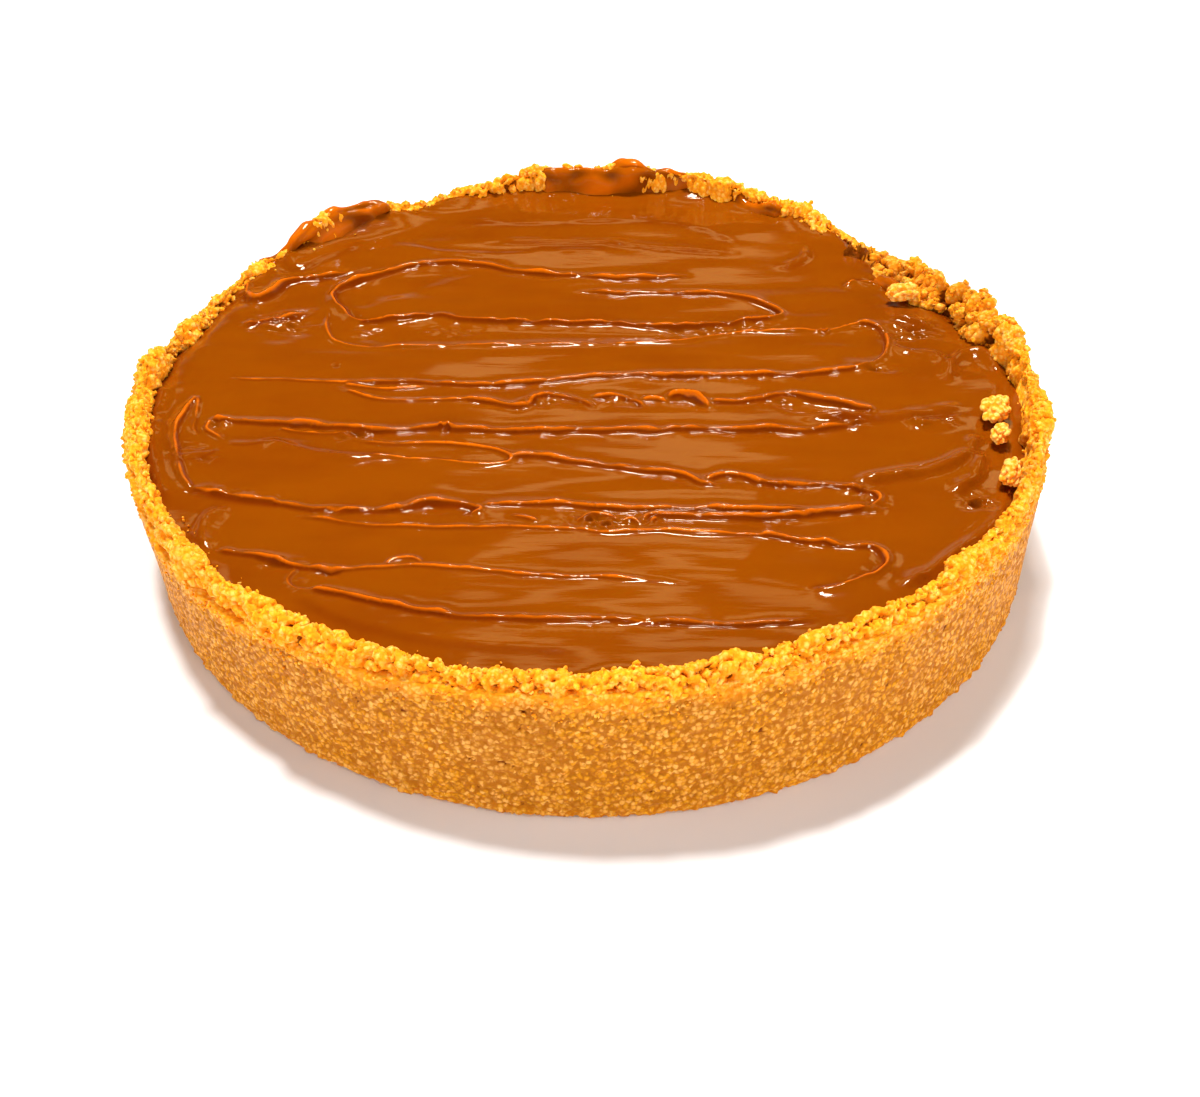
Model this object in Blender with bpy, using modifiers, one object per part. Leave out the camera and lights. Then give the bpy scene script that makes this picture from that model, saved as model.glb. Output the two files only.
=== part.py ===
"""A whole baked cheesecake without its plate: a crumb crust pressed in a 24 cm springform tin,
filled level below its rim and topped with thick caramel that was spread with a palette knife.

Origin: centre of the flat underside.  +Z is up, -Y is the side with the lowest rim.
"""

import math

import bmesh
import bpy
from mathutils import Vector, geometry, noise

MM = 0.001

# ---- driving dimensions ----------------------------------------------------------------
BASE_RADIUS = 120.3 * MM        # outside of the pressed wall just above the table
RIM_RADIUS = 121.2 * MM         # outside of the wall where the pressed part ends
INNER_RADIUS = 113.5 * MM       # inside of the wall where it meets the caramel
RIM_HEIGHT = 42.6 * MM          # crest of the crumbly rim at its mean
FLOOR_HEIGHT = 28.0 * MM        # underside of the caramel
CARAMEL_LEVEL = 38.0 * MM       # flats between the knife ridges, in the middle
CARAMEL_BACK_RISE = 2.0 * MM    # the caramel piles up towards +Y
BACK_CLIMB = 4.0 * MM           # and was drawn up the inside of the back rim
CLIMB_WIDTH = 18.0 * MM         # over this distance from the rim
GAP = 0.3 * MM                  # clearance between touching pieces
SEGMENTS = 144                  # facets round the cake
RIM_CRUMBLE = 0.9 * MM          # how far the broken rim strays from its smooth course
CRUMBLE_SIZE = 7.0 * MM         # size of the broken lumps along the rim
WALL_CRUMBLE = 0.25 * MM        # the same on the pressed wall
RIM_DEPTH = 6.0 * MM            # how far below its crest the rim is broken
FOOT_HEIGHT = 3.0 * MM          # the wall's lowest part, left even
SWELL = 0.5 * MM                # gentle unevenness of the caramel's flats
SWELL_SIZE = 30.0 * MM
EDGE_MARGIN = 3.0 * MM          # ridges stop this far from the crust
STATION_STEP = 5.5 * MM         # spacing of the points along a knife ridge
RIDGE_FOOT = 2.0 * MM           # half width of a knife ridge where it leaves the flat
FLAT_SPACING = 11.0 * MM        # spacing of the points on the flats
END_TAPER = 12.0 * MM           # length over which a ridge fades out
CURVE_STEPS = 12                # points read between two control points of a ridge

# Height and radii that change round the cake: (angle in degrees, millimetres).
CREST_HEIGHT = ((-160, 42), (-130, 39.5), (-100, 40.5), (-75, 43), (-45, 44), (-15, 46), (15, 48),
                (30, 43), (43, 39), (55, 43.5), (75, 48), (95, 48), (116, 41.5), (133, 46.5),
                (146, 41.5), (158, 40), (169, 40), (176, 43.5))
SHOULDER_RADIUS = ((-180, 125), (-150, 123.2), (-120, 121.4), (-90, 120.9), (-45, 121.1),
                   (0, 121.9), (45, 122.2), (90, 123.4), (135, 124), (160, 123.6), (172, 124))
INSIDE_RADIUS = ((-180, 118), (-150, 117.5), (-120, 115), (-90, 114), (-60, 114.5), (-30, 116),
                 (-5, 115.2), (7, 113), (14, 108.5), (20, 110), (27, 106), (33, 106.5), (40, 110),
                 (48, 113.5), (75, 115.5), (115, 116), (150, 117))

# Half section of the crust, from the middle of its floor over the rim to the underside.
CRUST_SECTION = ((0, 28), (113.5, 28), (113.5, 37), (114.2, 40.5), (115.4, 42.2), (117.0, 42.6),
                 (119.0, 41.4), (120.7, 38.6), (121.2, 35.0), (120.9, 24), (120.6, 12),
                 (120.3, 2.2), (119.1, 0), (0, 0))

# Knife ridges in plan: (height in mm, plan points in mm).  Each runs as a smooth curve.
RIDGES = (
    # back left: the curl beside the rim and the lip in front of it
    (2.0, ((-110, 62), (-104, 52), (-100, 46), (-95, 52), (-86, 60), (-70, 66))),
    (1.8, ((-101, 31), (-92, 35), (-82, 40))),
    # the long loop that turns back at both ends
    (2.0, ((24, 61), (-5, 62), (-29, 67), (-48, 69), (-67, 61), (-77, 50), (-74, 40), (-66, 34),
           (-44, 37), (-29, 34), (5, 33), (28, 31), (48, 34), (55, 39), (48, 46), (27, 51),
           (-5, 52))),
    # the loop below it, open to the left
    (1.8, ((-76, 30), (-71, 23), (-62, 20), (5, 21), (32, 26), (50, 29), (70, 29), (79, 33),
           (84, 27), (83, 18), (75, 9), (53, 5), (20, 4), (-15, 2), (-34, 1), (-67, 1))),
    # the broken, beaded ridge with its pointed end
    (1.8, ((-70, -1), (-57, -7), (-33, -7), (-18, -10), (-10, -6), (1, -8), (15, -8), (31, -8),
           (45, -6), (56, -5), (74, -12), (66, -15), (56, -15))),
    # the long ridge right across
    (2.2, ((-96, -26), (-100, -18), (-83, -18), (-62, -21), (-38, -20), (-8, -22), (28, -21),
           (55, -20), (72, -17))),
    # the tongue, and the ridge that runs on from its tip into the next turn
    (1.6, ((-94, -27), (-84, -27), (-71, -31), (-58, -33), (-35, -35), (-23, -36), (-21, -33),
           (-29, -29), (-46, -28), (-60, -27))),
    (1.9, ((-20, -33), (-8, -34), (7, -37), (21, -39), (29, -43), (36, -41), (45, -44), (63, -46),
           (70, -49), (69, -53), (60, -56), (37, -58), (14, -58), (1, -58))),
    # the ridge that comes off the left edge
    (1.9, ((-106, -6), (-109, -17), (-107, -29), (-101, -45), (-85, -50), (-60, -54), (-46, -54),
           (-37, -51), (-27, -54), (-12, -53), (12, -55), (41, -55), (60, -55))),
    # the front turn
    (1.8, ((-72, -56), (-54, -60), (-21, -62), (3, -64), (28, -64), (53, -67), (66, -69),
           (69, -74), (65, -80), (52, -85))),
    # front left: the knob, the loop and the long front ridge
    (1.8, ((-88, -70), (-73, -74), (-60, -77), (-40, -76), (-8, -80), (20, -83))),
    (1.8, ((-68, -77), (-69, -82), (-58, -86), (-38, -92), (-21, -95), (20, -96), (49, -94))),
    # short swells near the rim
    (1.2, ((-119, 0), (-117, -14), (-112, -35))),
    (1.2, ((-93, -54), (-95, -60), (-91, -68))),
    (1.0, ((58, -15), (78, -15), (98, -10))),
    (1.0, ((64, -44), (85, -39), (98, -31), (97, -42))),
    (1.2, ((77, 57), (84, 59), (89, 54))),
)

# Lumps of crust that fell on the caramel: (x, y, half sizes along, across and up, turn).
LUMPS = ((106.6, -15.0, 6.4, 2.8, 2.9, 70), (105.0, -26.5, 3.6, 2.9, 2.4, 75),
         (103.8, -43.5, 5.2, 2.7, 2.8, 66), (92.0, 46.5, 4.2, 3.4, 2.8, 10))
LUMP_CRUMBLE = 0.22             # share of a lump's size that its surface strays
LUMP_SETTLE = 0.35              # share of its height that a lump is flattened underneath


def remove_objects():
    for item in list(bpy.data.objects):
        bpy.data.objects.remove(item, do_unlink=True)


def principled(name, colour, roughness):
    material = bpy.data.materials.new(name)
    material.use_nodes = True
    shader = material.node_tree.nodes["Principled BSDF"]
    shader.inputs["Base Color"].default_value = (*colour, 1)
    shader.inputs["Roughness"].default_value = roughness
    shader.inputs["Metallic"].default_value = 0.0
    return material


def round_the_cake(table, angle):
    """The table's value at an angle in radians, in metres, eased between its entries."""
    degrees = math.degrees(angle)
    entries = list(table)
    first, last = entries[0], entries[-1]
    entries = [(last[0] - 360, last[1])] + entries + [(first[0] + 360, first[1])]
    for (low, at_low), (high, at_high) in zip(entries, entries[1:]):
        if low <= degrees <= high:
            share = (degrees - low) / (high - low)
            eased = share * share * (3 - 2 * share)
            return (at_low + (at_high - at_low) * eased) * MM
    return first[1] * MM


def crumble(point, size, seed):
    """Signed noise of about one, the same at every run."""
    return noise.noise(Vector(point) / size + Vector((seed, seed, seed)))


# ---- the crust -------------------------------------------------------------------------
def turned_section():
    """The section swept once round the Z axis, as a closed mesh."""
    mesh = bpy.data.meshes.new("crust_section")
    points = [(radius * MM, 0, height * MM) for radius, height in CRUST_SECTION]
    mesh.from_pydata(points, [(i, i + 1) for i in range(len(points) - 1)], [])
    guide = bpy.data.objects.new("crust_section", mesh)
    bpy.context.scene.collection.objects.link(guide)
    screw = guide.modifiers.new("turn", "SCREW")
    screw.steps = screw.render_steps = SEGMENTS
    screw.use_merge_vertices = True
    screw.merge_threshold = 0.00001
    graph = bpy.context.evaluated_depsgraph_get()
    turned = bpy.data.meshes.new_from_object(guide.evaluated_get(graph))
    bpy.data.objects.remove(guide, do_unlink=True)
    return turned


def place_on_rim(radius, height, angle):
    """Moves a point of the plain section to the uneven rim at this angle."""
    shoulder = round_the_cake(SHOULDER_RADIUS, angle)
    inside = round_the_cake(INSIDE_RADIUS, angle)
    crest = round_the_cake(CREST_HEIGHT, angle)
    if height < FLOOR_HEIGHT - GAP:
        flare = (shoulder - RIM_RADIUS) * height / FLOOR_HEIGHT
        return radius + flare * (radius > INNER_RADIUS), height
    if radius < INNER_RADIUS - GAP:
        return radius, height
    across = (radius - INNER_RADIUS) / (RIM_RADIUS - INNER_RADIUS)
    up = (height - FLOOR_HEIGHT) / (RIM_HEIGHT - FLOOR_HEIGHT)
    return inside + across * (shoulder - inside), FLOOR_HEIGHT + up * (crest - FLOOR_HEIGHT)


def shape_crust(mesh):
    rim_starts = RIM_HEIGHT - RIM_DEPTH
    for vertex in mesh.vertices:
        x, y, height = vertex.co
        radius, angle = math.hypot(x, y), math.atan2(y, x)
        if radius < GAP:
            continue
        on_rim = height > rim_starts and radius > INNER_RADIUS + GAP
        radius, height = place_on_rim(radius, height, angle)
        if on_rim:
            radius += RIM_CRUMBLE * crumble((x, y, height), CRUMBLE_SIZE, 3.1)
            height += RIM_CRUMBLE * 1.6 * crumble((x, y, 0), CRUMBLE_SIZE, 8.7)
        elif radius > BASE_RADIUS and height > FOOT_HEIGHT:
            radius += WALL_CRUMBLE * crumble((x, y, height), CRUMBLE_SIZE, 5.3)
        vertex.co = (radius * math.cos(angle), radius * math.sin(angle), height)


def make_crust(material, collection):
    mesh = turned_section()
    shape_crust(mesh)
    mesh.name = "crumb_crust"
    solid = bmesh.new()
    solid.from_mesh(mesh)
    bmesh.ops.remove_doubles(solid, verts=solid.verts, dist=0.00002)
    bmesh.ops.triangulate(solid, faces=solid.faces)
    bmesh.ops.recalc_face_normals(solid, faces=solid.faces)
    solid.to_mesh(mesh)
    solid.free()
    return finish("crumb_crust", mesh, material, collection)


# ---- the caramel -----------------------------------------------------------------------
def smooth_course(points):
    """A Catmull-Rom curve through the plan points, as closely spaced Vectors in metres."""
    plan = [Vector(point) * MM for point in points]
    padded = [2 * plan[0] - plan[1]] + plan + [2 * plan[-1] - plan[-2]]
    course = []
    for before, start, end, after in zip(padded, padded[1:], padded[2:], padded[3:]):
        for step in range(CURVE_STEPS):
            t = step / CURVE_STEPS
            course.append(0.5 * (2 * start + (end - before) * t
                                 + (2 * before - 5 * start + 4 * end - after) * t * t
                                 + (3 * start - before - 3 * end + after) * t * t * t))
    course.append(plan[-1])
    return course


def stations(course):
    """Evenly spaced points along a course, each with its direction and how full the ridge is."""
    lengths = [0.0]
    for start, end in zip(course, course[1:]):
        lengths.append(lengths[-1] + (end - start).length)
    total = lengths[-1]
    count = max(3, round(total / STATION_STEP))
    found = []
    segment = 0
    for index in range(count + 1):
        along = total * index / count
        while segment < len(course) - 2 and lengths[segment + 1] < along:
            segment += 1
        run = course[segment + 1] - course[segment]
        share = (along - lengths[segment]) / max(run.length, 1e-9)
        fullness = min(1.0, 0.25 + min(along, total - along) / END_TAPER)
        found.append((course[segment] + run * share, run.normalized(), fullness))
    return found


def read_ridges():
    return [(height * MM, stations(smooth_course(points))) for height, points in RIDGES]


def distance_to_segment(point, start, end):
    run = end - start
    share = max(0.0, min(1.0, (point - start).dot(run) / max(run.length_squared, 1e-12)))
    return (point - start - run * share).length, share


def back_climb(point):
    """How far the caramel is drawn up towards the back rim at a plan point."""
    near_rim = max(0.0, 1 - (INNER_RADIUS - point.length) / CLIMB_WIDTH)
    facing_back = max(0.0, point.y) / INNER_RADIUS
    return BACK_CLIMB * near_rim * near_rim * facing_back


def caramel_height(point, ridges):
    """Height of the spread caramel at a plan point."""
    level = CARAMEL_LEVEL + CARAMEL_BACK_RISE * max(0.0, point.y / INNER_RADIUS - 0.5) * 2
    swell = SWELL * crumble((point.x * 0.6, point.y * 1.6, 0), SWELL_SIZE, 2.2)
    raised = 0.0
    for height, line in ridges:
        for (start, _, full), (end, _, full_next) in zip(line, line[1:]):
            away, share = distance_to_segment(point, start, end)
            if away < RIDGE_FOOT:
                fullness = full + (full_next - full) * share
                raised = max(raised, height * fullness * (1 - away / RIDGE_FOOT))
    return level + back_climb(point) + swell + raised


def inside_edge():
    """Plan outline of the caramel, one point for each facet of the crust."""
    outline = []
    for index in range(SEGMENTS):
        angle = math.remainder(2 * math.pi * index / SEGMENTS, 2 * math.pi)
        radius = round_the_cake(INSIDE_RADIUS, angle) - GAP
        outline.append(Vector((radius * math.cos(angle), radius * math.sin(angle))))
    return outline


def is_inside(point, margin):
    angle = math.atan2(point.y, point.x)
    return point.length < round_the_cake(INSIDE_RADIUS, angle) - margin


def plan_points(ridges):
    """Points for the top: crest and feet of each ridge, then the flats between, with crests."""
    outline = inside_edge()
    points = list(outline)
    crests = []
    for _, line in ridges:
        previous = None
        for place, direction, _ in line:
            if not is_inside(place, EDGE_MARGIN):
                previous = None
                continue
            points.append(place)
            if previous is not None:
                crests.append((previous, len(points) - 1))
            previous = len(points) - 1
            across = Vector((-direction.y, direction.x)) * RIDGE_FOOT
            for foot in (place + across, place - across):
                if is_inside(foot, EDGE_MARGIN) and clear_of(foot, ridges, 0.8 * RIDGE_FOOT):
                    points.append(foot)
    count = round(INNER_RADIUS / FLAT_SPACING)
    for row in range(-count, count + 1):
        for column in range(-count, count + 1):
            place = Vector(((column + 0.5 * (row % 2)) * FLAT_SPACING, row * FLAT_SPACING))
            if is_inside(place, EDGE_MARGIN) and clear_of(place, ridges, 2 * RIDGE_FOOT):
                points.append(place)
    return outline, points, crests


def clear_of(point, ridges, margin):
    """True where no ridge crest comes nearer than the margin."""
    for _, line in ridges:
        for (start, _, _), (end, _, _) in zip(line, line[1:]):
            if distance_to_segment(point, start, end)[0] < margin:
                return False
    return True


def make_caramel(ridges, material, collection):
    outline, points, crests = plan_points(ridges)
    triangles_inside = 1
    places, _, faces, _, _, _ = geometry.delaunay_2d_cdt(
        points, crests, [list(range(len(outline)))], triangles_inside, 0.00005)
    solid = bmesh.new()
    corners = [solid.verts.new((place.x, place.y, caramel_height(place, ridges)))
               for place in places]
    for face in faces:
        solid.faces.new([corners[index] for index in face])
    loose = [vertex for vertex in solid.verts if not vertex.link_faces]
    bmesh.ops.delete(solid, geom=loose, context="VERTS")
    border = [edge for edge in solid.edges if edge.is_boundary]
    wall = bmesh.ops.extrude_edge_only(solid, edges=border)["geom"]
    for item in wall:
        if isinstance(item, bmesh.types.BMVert):
            item.co.z = FLOOR_HEIGHT + GAP
    bottom = [item for item in wall if isinstance(item, bmesh.types.BMEdge) and item.is_boundary]
    bmesh.ops.edgeloop_fill(solid, edges=bottom)
    bmesh.ops.triangulate(solid, faces=solid.faces)
    bmesh.ops.recalc_face_normals(solid, faces=solid.faces)
    mesh = bpy.data.meshes.new("caramel_topping")
    solid.to_mesh(mesh)
    solid.free()
    return finish("caramel_topping", mesh, material, collection)


# ---- fallen lumps of crust --------------------------------------------------------------
def make_lump(number, lump, ridges, material, collection):
    x, y, along, across, up, turn = lump
    place = Vector((x, y)) * MM
    turned = math.radians(turn)
    solid = bmesh.new()
    bmesh.ops.create_icosphere(solid, subdivisions=2, radius=1.0)
    rests_at = caramel_height(place, ridges) + 2 * GAP
    for vertex in solid.verts:
        stray = 1 + LUMP_CRUMBLE * 2 * crumble(vertex.co, 0.9, 4.4 * number)
        local = Vector((vertex.co.x * along, vertex.co.y * across, vertex.co.z * up)) * stray * MM
        plan_x = local.x * math.cos(turned) - local.y * math.sin(turned)
        plan_y = local.x * math.sin(turned) + local.y * math.cos(turned)
        height = max(local.z, -up * MM * (1 - LUMP_SETTLE)) + up * MM * (1 - LUMP_SETTLE)
        vertex.co = (place.x + plan_x, place.y + plan_y, rests_at + height)
    bmesh.ops.triangulate(solid, faces=solid.faces)
    bmesh.ops.recalc_face_normals(solid, faces=solid.faces)
    mesh = bpy.data.meshes.new(f"crumb_lump_{number}")
    solid.to_mesh(mesh)
    solid.free()
    return finish(f"crumb_lump_{number}", mesh, material, collection)


def finish(name, mesh, material, collection):
    mesh.materials.clear()
    mesh.materials.append(material)
    mesh.shade_smooth()
    mesh.set_sharp_from_angle(angle=math.radians(40))
    item = bpy.data.objects.new(name, mesh)
    collection.objects.link(item)
    return item


def main():
    remove_objects()
    collection = bpy.data.collections.new("baked_cheesecake")
    bpy.context.scene.collection.children.link(collection)
    ridges = read_ridges()
    make_crust(principled("baked_crumb", (0.56, 0.23, 0.035), 0.85), collection)
    make_caramel(ridges, principled("caramel", (0.42, 0.085, 0.003), 0.18), collection)
    for number, lump in enumerate(LUMPS, start=1):
        colour = principled(f"crumb_lump_{number}", (0.72, 0.36, 0.07), 0.85)
        make_lump(number, lump, ridges, colour, collection)


main()
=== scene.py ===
"""Looks of a whole baked cheesecake: sandy pressed crust, broken rim, knife-swirled caramel."""

import functools
import math

import bmesh
import bpy
import numpy as np
from bpy.props import FloatProperty, FloatVectorProperty, IntProperty, PointerProperty
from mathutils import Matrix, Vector, geometry


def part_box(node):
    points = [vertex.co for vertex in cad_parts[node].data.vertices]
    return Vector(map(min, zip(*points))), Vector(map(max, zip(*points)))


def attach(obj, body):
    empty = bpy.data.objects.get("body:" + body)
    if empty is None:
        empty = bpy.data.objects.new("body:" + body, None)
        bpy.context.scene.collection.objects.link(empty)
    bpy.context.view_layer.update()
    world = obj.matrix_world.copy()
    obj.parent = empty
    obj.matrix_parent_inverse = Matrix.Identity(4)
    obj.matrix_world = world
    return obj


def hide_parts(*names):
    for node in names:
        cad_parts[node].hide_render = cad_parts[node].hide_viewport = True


bl_info = {
    "name": "Caramel Cheesecake",
    "version": (1, 0, 0),
    "blender": (4, 5, 0),
    "location": "View3D > Sidebar > Cheesecake",
    "description": "Builds the crust, rim, caramel, crumbs and stage of a baked cheesecake",
    "category": "Add Mesh",
}

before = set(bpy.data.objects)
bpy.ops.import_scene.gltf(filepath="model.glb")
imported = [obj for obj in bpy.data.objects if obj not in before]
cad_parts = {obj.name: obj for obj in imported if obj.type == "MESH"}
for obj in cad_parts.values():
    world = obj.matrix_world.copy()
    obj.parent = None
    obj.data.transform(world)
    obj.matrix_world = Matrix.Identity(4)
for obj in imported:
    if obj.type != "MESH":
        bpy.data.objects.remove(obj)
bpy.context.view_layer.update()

# ---- measures taken from the frame -------------------------------------------------------
CARAMEL_LOW, CARAMEL_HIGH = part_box("caramel_topping")
CRUST_LOW, CRUST_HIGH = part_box("crumb_crust")
CARAMEL_PLAN_WIDTH = 232.2      # width of the caramel that the plan tables below are drawn for
UNIT = (CARAMEL_HIGH[0] - CARAMEL_LOW[0]) / CARAMEL_PLAN_WIDTH   # one plan millimetre in metres
FLOOR_Z = CRUST_LOW[2]
CARAMEL_UNDERSIDE = (CARAMEL_LOW[2] - FLOOR_Z) / UNIT            # plan millimetres

# ---- the cake's outline: (angle in degrees, plan millimetres) -----------------------------
CREST_HEIGHT = ((-160, 42.3), (-130, 40.5), (-100, 41.8), (-75, 43.8), (-45, 44), (-15, 46), (15, 48),
                (30, 43), (43, 39), (55, 43.5), (75, 48), (95, 48), (116, 41.5), (133, 46.5),
                (146, 41), (158, 39.5), (169, 39.5), (176, 43.5))
SHOULDER_RADIUS = ((-180, 125), (-150, 123.2), (-120, 121.4), (-90, 120.9), (-45, 121.1),
                   (0, 120.6), (20, 120.6), (45, 122.2), (90, 123.4), (135, 124), (160, 123.4),
                   (172, 123.8))
INSIDE_RADIUS = ((-180, 118), (-150, 117.5), (-120, 115), (-90, 114), (-60, 114.5), (-30, 116),
                 (-5, 115.2), (7, 113), (14, 108.5), (20, 110), (27, 106), (33, 106.5), (40, 110),
                 (48, 113.5), (75, 115.5), (115, 116), (150, 117))
PRESSED_HEIGHT = ((-160, 36), (-145, 32), (-132, 32), (-120, 35), (-90, 38), (-60, 39), (-40, 39),
                  (0, 40), (30, 37), (60, 38), (90, 40), (120, 36), (150, 36), (175, 37))
BASE_RADIUS = 120.3
LEVEL = 37.6                    # caramel flats in the middle
BACK_RISE = 2.0                 # the caramel piles up towards the back
# How far the caramel stands above its level where it meets the crust.
EDGE_LIFT = ((-175, -1.6), (-150, -0.8), (-125, -0.6), (-100, 0.2), (-70, 0.2), (-45, 0.0),
             (-20, -1.6), (-5, -0.8), (8, 0.4), (25, -1.4), (38, -1.0), (50, 0.4), (62, 1.0),
             (72, 1.5), (85, 1.3), (100, 1.2), (112, 0.7), (124, 1.3), (136, 1.8), (146, 0.6),
             (158, -2.0), (170, -2.0))
EDGE_WIDTH = 8.0                # distance over which it gets there

# ---- knife marks: (section, height, groove side, fade in, fade out, plan points) ----------
# The groove side is 1 for left of the run, -1 for right and 0 for both.
THIN, LIP, ROLL, SWELL = "thin", "lip", "roll", "swell"
SECTIONS = {                    # (offset to the groove side, spread, share of the height)
    THIN: ((0, 0.28, 0.9), (-0.5, 0.6, 0.35), (0.9, 0.7, -0.05)),
    LIP: ((0, 0.30, 0.78), (-0.45, 0.55, 0.5), (-1.6, 1.1, 0.25), (1.2, 0.9, -0.2)),
    ROLL: ((0, 0.45, 0.78), (-0.8, 0.9, 0.5), (-2.4, 1.6, 0.28), (1.9, 1.4, -0.26)),
    SWELL: ((0, 0.95, 1.0), (-1.3, 1.5, 0.6)),
}
SHADES = {THIN: (0.55, 0.34, 0.7), LIP: (0.66, 0.42, 1.0), ROLL: (1.0, 0.75, 1.0),
          SWELL: (1.4, 1.1, 0.45)}   # painted shade: dark band below a ridge: (offset, spread, strength)
# width of the painted highlight line on each crest, which stands partly for thin caramel
CREST_HIGHLIGHT_SPREAD = 0.26
BLUNT_SPREAD = 0.62             # spread of a crest where it is rounded instead of sharp
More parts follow.
